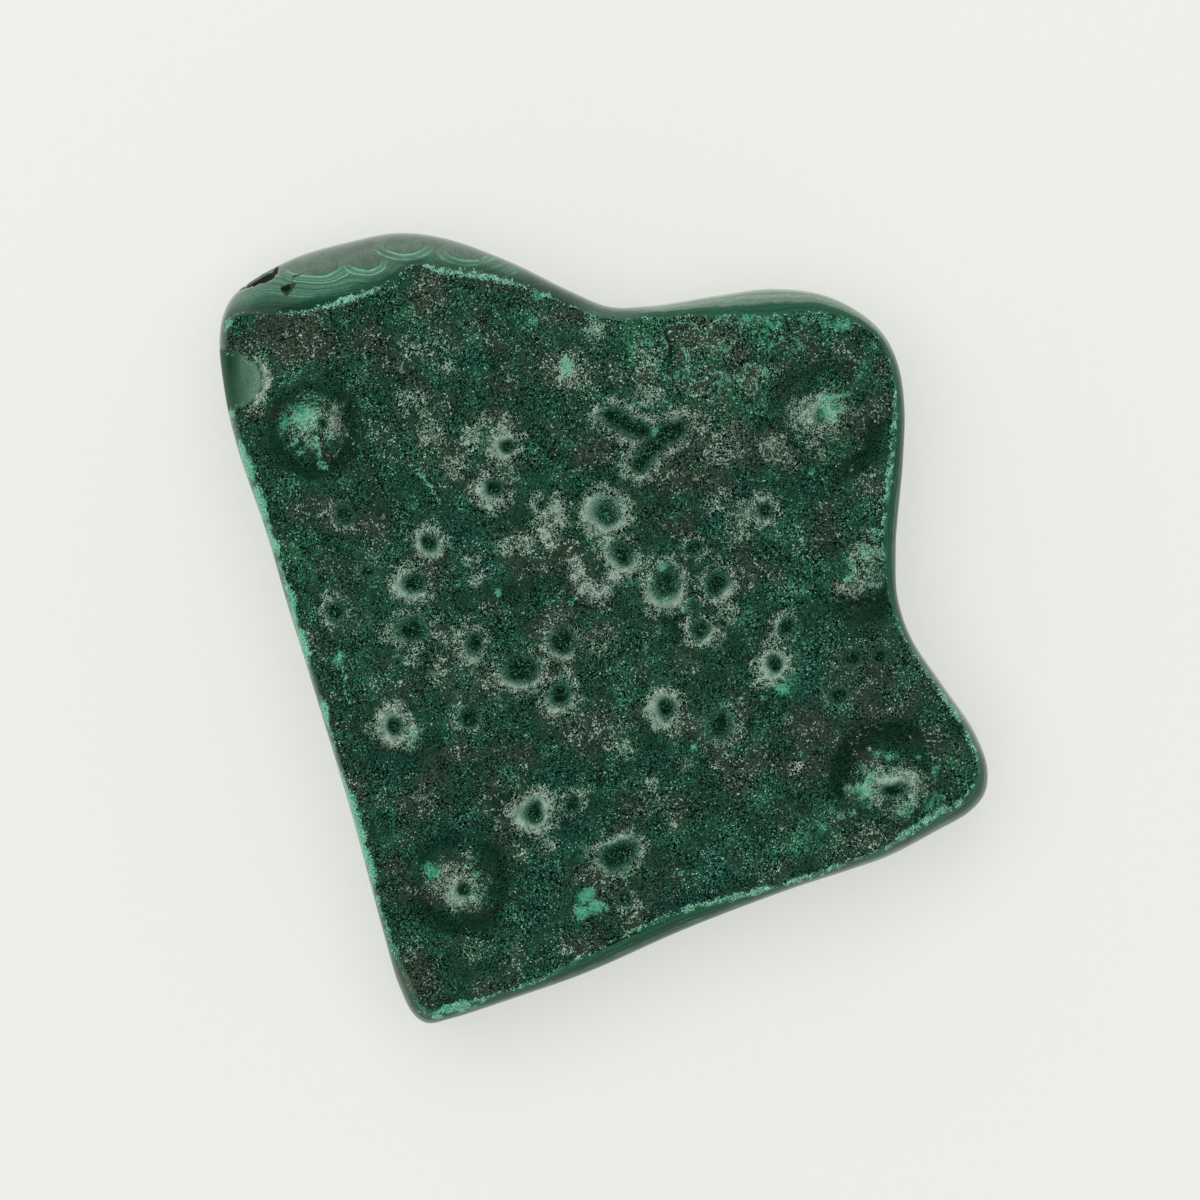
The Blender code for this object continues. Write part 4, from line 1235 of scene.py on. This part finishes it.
    def lay_rim(self) -> None:
        """The narrow rim: level bands and streaks, olive at the foot and a painted pale reflection at the
        top, laid as a pale outer layer of stone.
        """
        s, tints, waver = self.s, self.tints, self.waver
        plain = 1.0 - self.on_bevel
        level = s.bands(self.fall + (waver - 0.5) * 0.2, 9.0, 2.0).step(0.38, 0.62)
        trim = (1.0 - self.fall.step(0.7, 1.0)).most(self.crown) * plain
        self.lay(trim * 0.85, s.mix(level, tints.trim, tints.trim_pale))
        streaks = s.bands(self.fall + (waver - 0.5) * 0.15, 14.0, 1.0).step(0.54, 0.66)
        streaks = streaks * (self.warp + waver - 1.0).step(-0.04, 0.1)
        self.lay(streaks * trim * (1.0 - self.crown) * 0.7, tints.streak)
        olive = (s.mark("brown") + (waver - 0.5) * 0.8).step(0.4, 0.9) * plain
        olive = olive * (self.y * -1.0).step(40.0, 50.0)
        self.lay(olive * 0.7, s.mix(level, tints.olive, tints.olive_pale))
        # Painted reflection: a pale band on the crown's outer slope.
        self.rim_reflection = self.crown * (self.fall + (waver - 0.5) * 0.2).step(0.2, 0.36)
        self.lay(self.rim_reflection * 0.85, s.mix(level, tints.rim_reflection, tints.rim_reflection_pale))
        self.colour = s.scaled(self.colour, self.shade * 0.5 + 0.75)

    def lay_cracks(self) -> None:
        """Dark cracks and the natural hollow, with earth at their edges."""
        crack = self.s.mark("crack") + (self.waver - 0.5) * 0.5
        earth = self.s.scaled(self.tints.earth, self.chance + 0.4)
        hollow = self.s.mix(crack.step(0.55, 0.75), earth, self.tints.hole)
        self.crack = crack.step(0.36, 0.5)
        self.lay(self.crack * 0.95, hollow)

    def lay_scoop(self) -> None:
        """The rubbed, duller wall of the scoop, with painted shading: darker on the left and paler to the
        right, where the wall tilts; one pale streak.
        """
        s, tints = self.s, self.tints
        self.scoop = s.mark("scoop").step(0.0, 0.5) * (1.0 - self.fall.step(0.55, 1.0))
        # Painted shading across the scoop: dark on the left, lit to the right.
        across = (self.x + (self.waver - 0.5) * 1.5 + 62.8).step(0.0, 6.0)
        wall = s.mix(across, tints.scoop, tints.scoop_lit)
        streak = 1.0 - (self.x + 59.9).size().step(0.1, 0.8)
        wall = s.mix(streak * (self.y - 39.0).step(0.0, 4.0) * 0.5, wall, tints.scoop_streak)
        self.lay(self.scoop, s.scaled(wall, self.shade * 0.4 + 0.8))

    def gleam(self) -> Value:
        """How much the polish shines: less in the scoop, the cracks and the crown, except where its pale
        reflection is painted.
        """
        shine = self.s.mark("gleam") * (1.0 - self.scoop * 0.85) * (1.0 - self.crack)
        return shine * (1.0 - self.crown * (1.0 - self.rim_reflection) * 0.6)


@dataclass(frozen=True)
class MalachiteFinish:
    """Malachite: velvety crystal crust on its natural face, banded and glossy where it is polished."""

    tints: MalachiteTints = MalachiteTints()
    bump_depth: float = 0.14
    bump_strength: float = 0.6
    refraction: float = 1.6
    bare_gloss: float = 0.03
    polish_roughness: float = 0.1
    polish_refraction: float = 1.55

    def build(self) -> bpy.types.Material:
        """Makes the material.

        Returns:
            One material for the whole stone.
        """
        s = Shader("malachite")
        face, stone = NaturalCoat(s, self.tints), PolishedCoat(s, self.tints)
        ragged = s.noise(1.1, 3.0)
        edge = s.mark("edge") + (ragged - 0.5) * 1.8
        cut = 1.0 - edge.step(-0.12, 0.12)
        dusty, crust = self.seam_crust(s, face, edge, ragged)
        colour = s.mix(dusty * 0.92, s.mix(cut, face.colour, stone.colour), crust)
        face_rough, face_gloss = 0.8 - face.wear_and_sheen * 0.3, face.wear_and_sheen.step(0.3, 0.9) * 0.3
        stone_rough = 0.22 + (stone.warp - 0.5) * 0.1 + stone.scoop * 0.2
        relief = {"Strength": self.bump_strength, "Distance": self.bump_depth * MM}
        bump = s.node("ShaderNodeBump", None, relief | {"Height": face.height() * (1.0 - cut)})
        polish = (cut * stone.gleam() * (1.0 - dusty * 0.7)).most(face_gloss * (1.0 - dusty))
        values = {
            "Base Color": colour,
            "Roughness": face_rough + (stone_rough - face_rough) * cut,
            "IOR": self.refraction,
            "Specular IOR Level": self.bare_gloss,
            "Coat Weight": polish,
            "Coat Roughness": self.polish_roughness,
            "Coat IOR": self.polish_refraction,
            "Normal": bump.outputs[0],
        }
        return s.finish("ShaderNodeBsdfPrincipled", values)

    def seam_crust(self, s: Shader, face: NaturalCoat, edge: Value, ragged: Value) -> tuple[Value, object]:
        """The mint green crust along the seam.

        Args:
            s: the shader.
            face: the natural face, whose grains the crust shares.
            edge: ragged distance inside the seam, in mm.
            ragged: the noise that frays it.

        Returns:
            How much of the crust shows, and its colour.
        """
        shift = s.mark("shift")
        patchy = (s.mark("crust") * 1.1 + (s.noise(2.6, 3.0) - 0.5) * 2.0 - 0.1).step(0.2, 0.9)
        line = patchy * (0.7 + shift * 1.1) - (edge + shift).size() + (ragged - 0.5) * 0.8 - 0.1
        line = line - (s.mark("fall") + (ragged - 0.5) * 1.4).step(0.5, 0.95) * 1.6
        dusty = (line + (face.chance - 0.5) * 0.8).step(0.0, 0.25)
        grade = (face.tone * 0.6 + ragged * 0.9 - shift * 0.25 - 0.1).step(0.2, 0.75)
        crust = s.mix(grade, s.mix(shift, self.tints.mint_deep, self.tints.mint), self.tints.mint_pale)
        return dusty, s.scaled(crust, face.shade * 0.9 + 0.5)


@dataclass(frozen=True)
class StudioPaper:
    """Pale matt paper, lit a little from below so that shadows on it stay light; lengths in metres."""

    light: tuple = tint(190, 191, 187)
    dark: tuple = tint(187, 188, 183)
    glow: float = 1.0
    roughness: float = 0.85
    gloss: float = 0.2
    fade_start: float = 0.5
    fade_end: float = 2.6
    far_shade: float = 0.21

    def build(self) -> bpy.types.Material:
        """Makes the material."""
        s = Shader("studio_paper")
        length = s.node("ShaderNodeVectorMath", {"operation": "LENGTH"}, {0: s.place})
        away = Value(s, length.outputs["Value"]).step(self.fade_start, self.fade_end)
        colour = s.scaled(s.mix(s.noise(1.6, 4.0), self.dark, self.light), 1.0 - away * self.far_shade)
        s.material.cycles.emission_sampling = "NONE"
        values = {
            "Base Color": colour,
            "Roughness": self.roughness,
            "Specular IOR Level": self.gloss,
            "Emission Color": colour,
            "Emission Strength": self.glow,
        }
        return s.finish("ShaderNodeBsdfPrincipled", values)


# ----------------------------------------------------------------------------------------------
# The studio


@dataclass
class Studio:
    """Pale paper floor, white wall, soft light and a camera that looks straight down, in metres."""

    room_radius: float = 3.0
    room_sides: int = 96
    wall_height: float = 1.9
    wall_glow: float = 0.62
    wall_tint: tuple = tint(250, 252, 246)
    key_place: tuple[float, float, float] = (-0.12, 0.2, 1.3)
    key_size: float = 1.35
    key_watts: float = 9.8
    air: float = 0.16
    air_tint: tuple = tint(250, 252, 250)
    camera_x: float = -0.0006
    camera_y: float = 0.0046
    camera_distance: float = 1.8
    view_width: float = 0.2
    view_height: float = 0.02
    sensor: float = 36.0
    sight: float = 50.0

    def floor(self) -> None:
        """Lays the round paper floor."""
        bpy.ops.object.select_all(action="DESELECT")
        bpy.ops.mesh.primitive_circle_add(
            vertices=self.room_sides, radius=self.room_radius, fill_type="NGON"
        )
        self.stage("studio_floor", StudioPaper().build())

    def wall(self) -> None:
        """Stands the glowing white wall round the floor."""
        bpy.ops.object.select_all(action="DESELECT")
        bpy.ops.mesh.primitive_cylinder_add(
            vertices=self.room_sides,
            radius=self.room_radius,
            depth=self.wall_height,
            end_fill_type="NOTHING",
            location=(0.0, 0.0, self.wall_height / 2.0),
        )
        bpy.ops.object.transform_apply(location=True)
        mesh = bpy.context.active_object.data
        mesh.flip_normals()
        mesh.shade_smooth()
        s = Shader("studio_glow")
        s.material.cycles.emission_sampling = "NONE"
        glow = {"Color": self.wall_tint, "Strength": self.wall_glow}
        self.stage("studio_wall", s.finish("ShaderNodeEmission", glow))

    @staticmethod
    def stage(name: str, material: bpy.types.Material) -> None:
        """Names the piece just made and gives it its material."""
        piece = bpy.context.active_object
        piece.name = name
        piece.data.materials.append(material)

    def lights(self) -> None:
        """Hangs a large soft light overhead, aimed at the stone, and fills the room with white light."""
        data = bpy.data.lights.new("key", "AREA")
        data.size, data.energy = self.key_size, self.key_watts
        key = bpy.data.objects.new("key", data)
        key.location = self.key_place
        key.rotation_euler = (-Vector(self.key_place)).to_track_quat("-Z", "Y").to_euler()
        bpy.context.scene.collection.objects.link(key)
        world = bpy.data.worlds.new("studio_air")
        world.use_nodes = True
        air = world.node_tree.nodes["Background"].inputs
        air["Color"].default_value = self.air_tint
        air["Strength"].default_value = self.air
        bpy.context.scene.world = world
        bpy.context.scene.view_settings.view_transform = "Standard"

    def camera(self) -> None:
        """Stands the camera straight above the slab."""
        data = bpy.data.cameras.new("camera")
        data.sensor_width = self.sensor
        data.lens = self.sensor * self.camera_distance / self.view_width
        data.clip_end = self.sight
        camera = bpy.data.objects.new("camera", data)
        camera.location = (self.camera_x, self.camera_y, self.view_height + self.camera_distance)
        bpy.context.scene.collection.objects.link(camera)
        bpy.context.scene.camera = camera


def main() -> None:
    """Builds the stone and the studio."""
    logging.basicConfig(level=logging.INFO, format="%(name)s: %(message)s")
    stone = MalachiteSlab().build()
    stone.data.materials.append(MalachiteFinish().build())
    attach(stone, "root")
    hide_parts("malachite")
    studio = Studio()
    studio.floor()
    studio.wall()
    studio.lights()
    studio.camera()


if __name__ == "__main__":
    main()
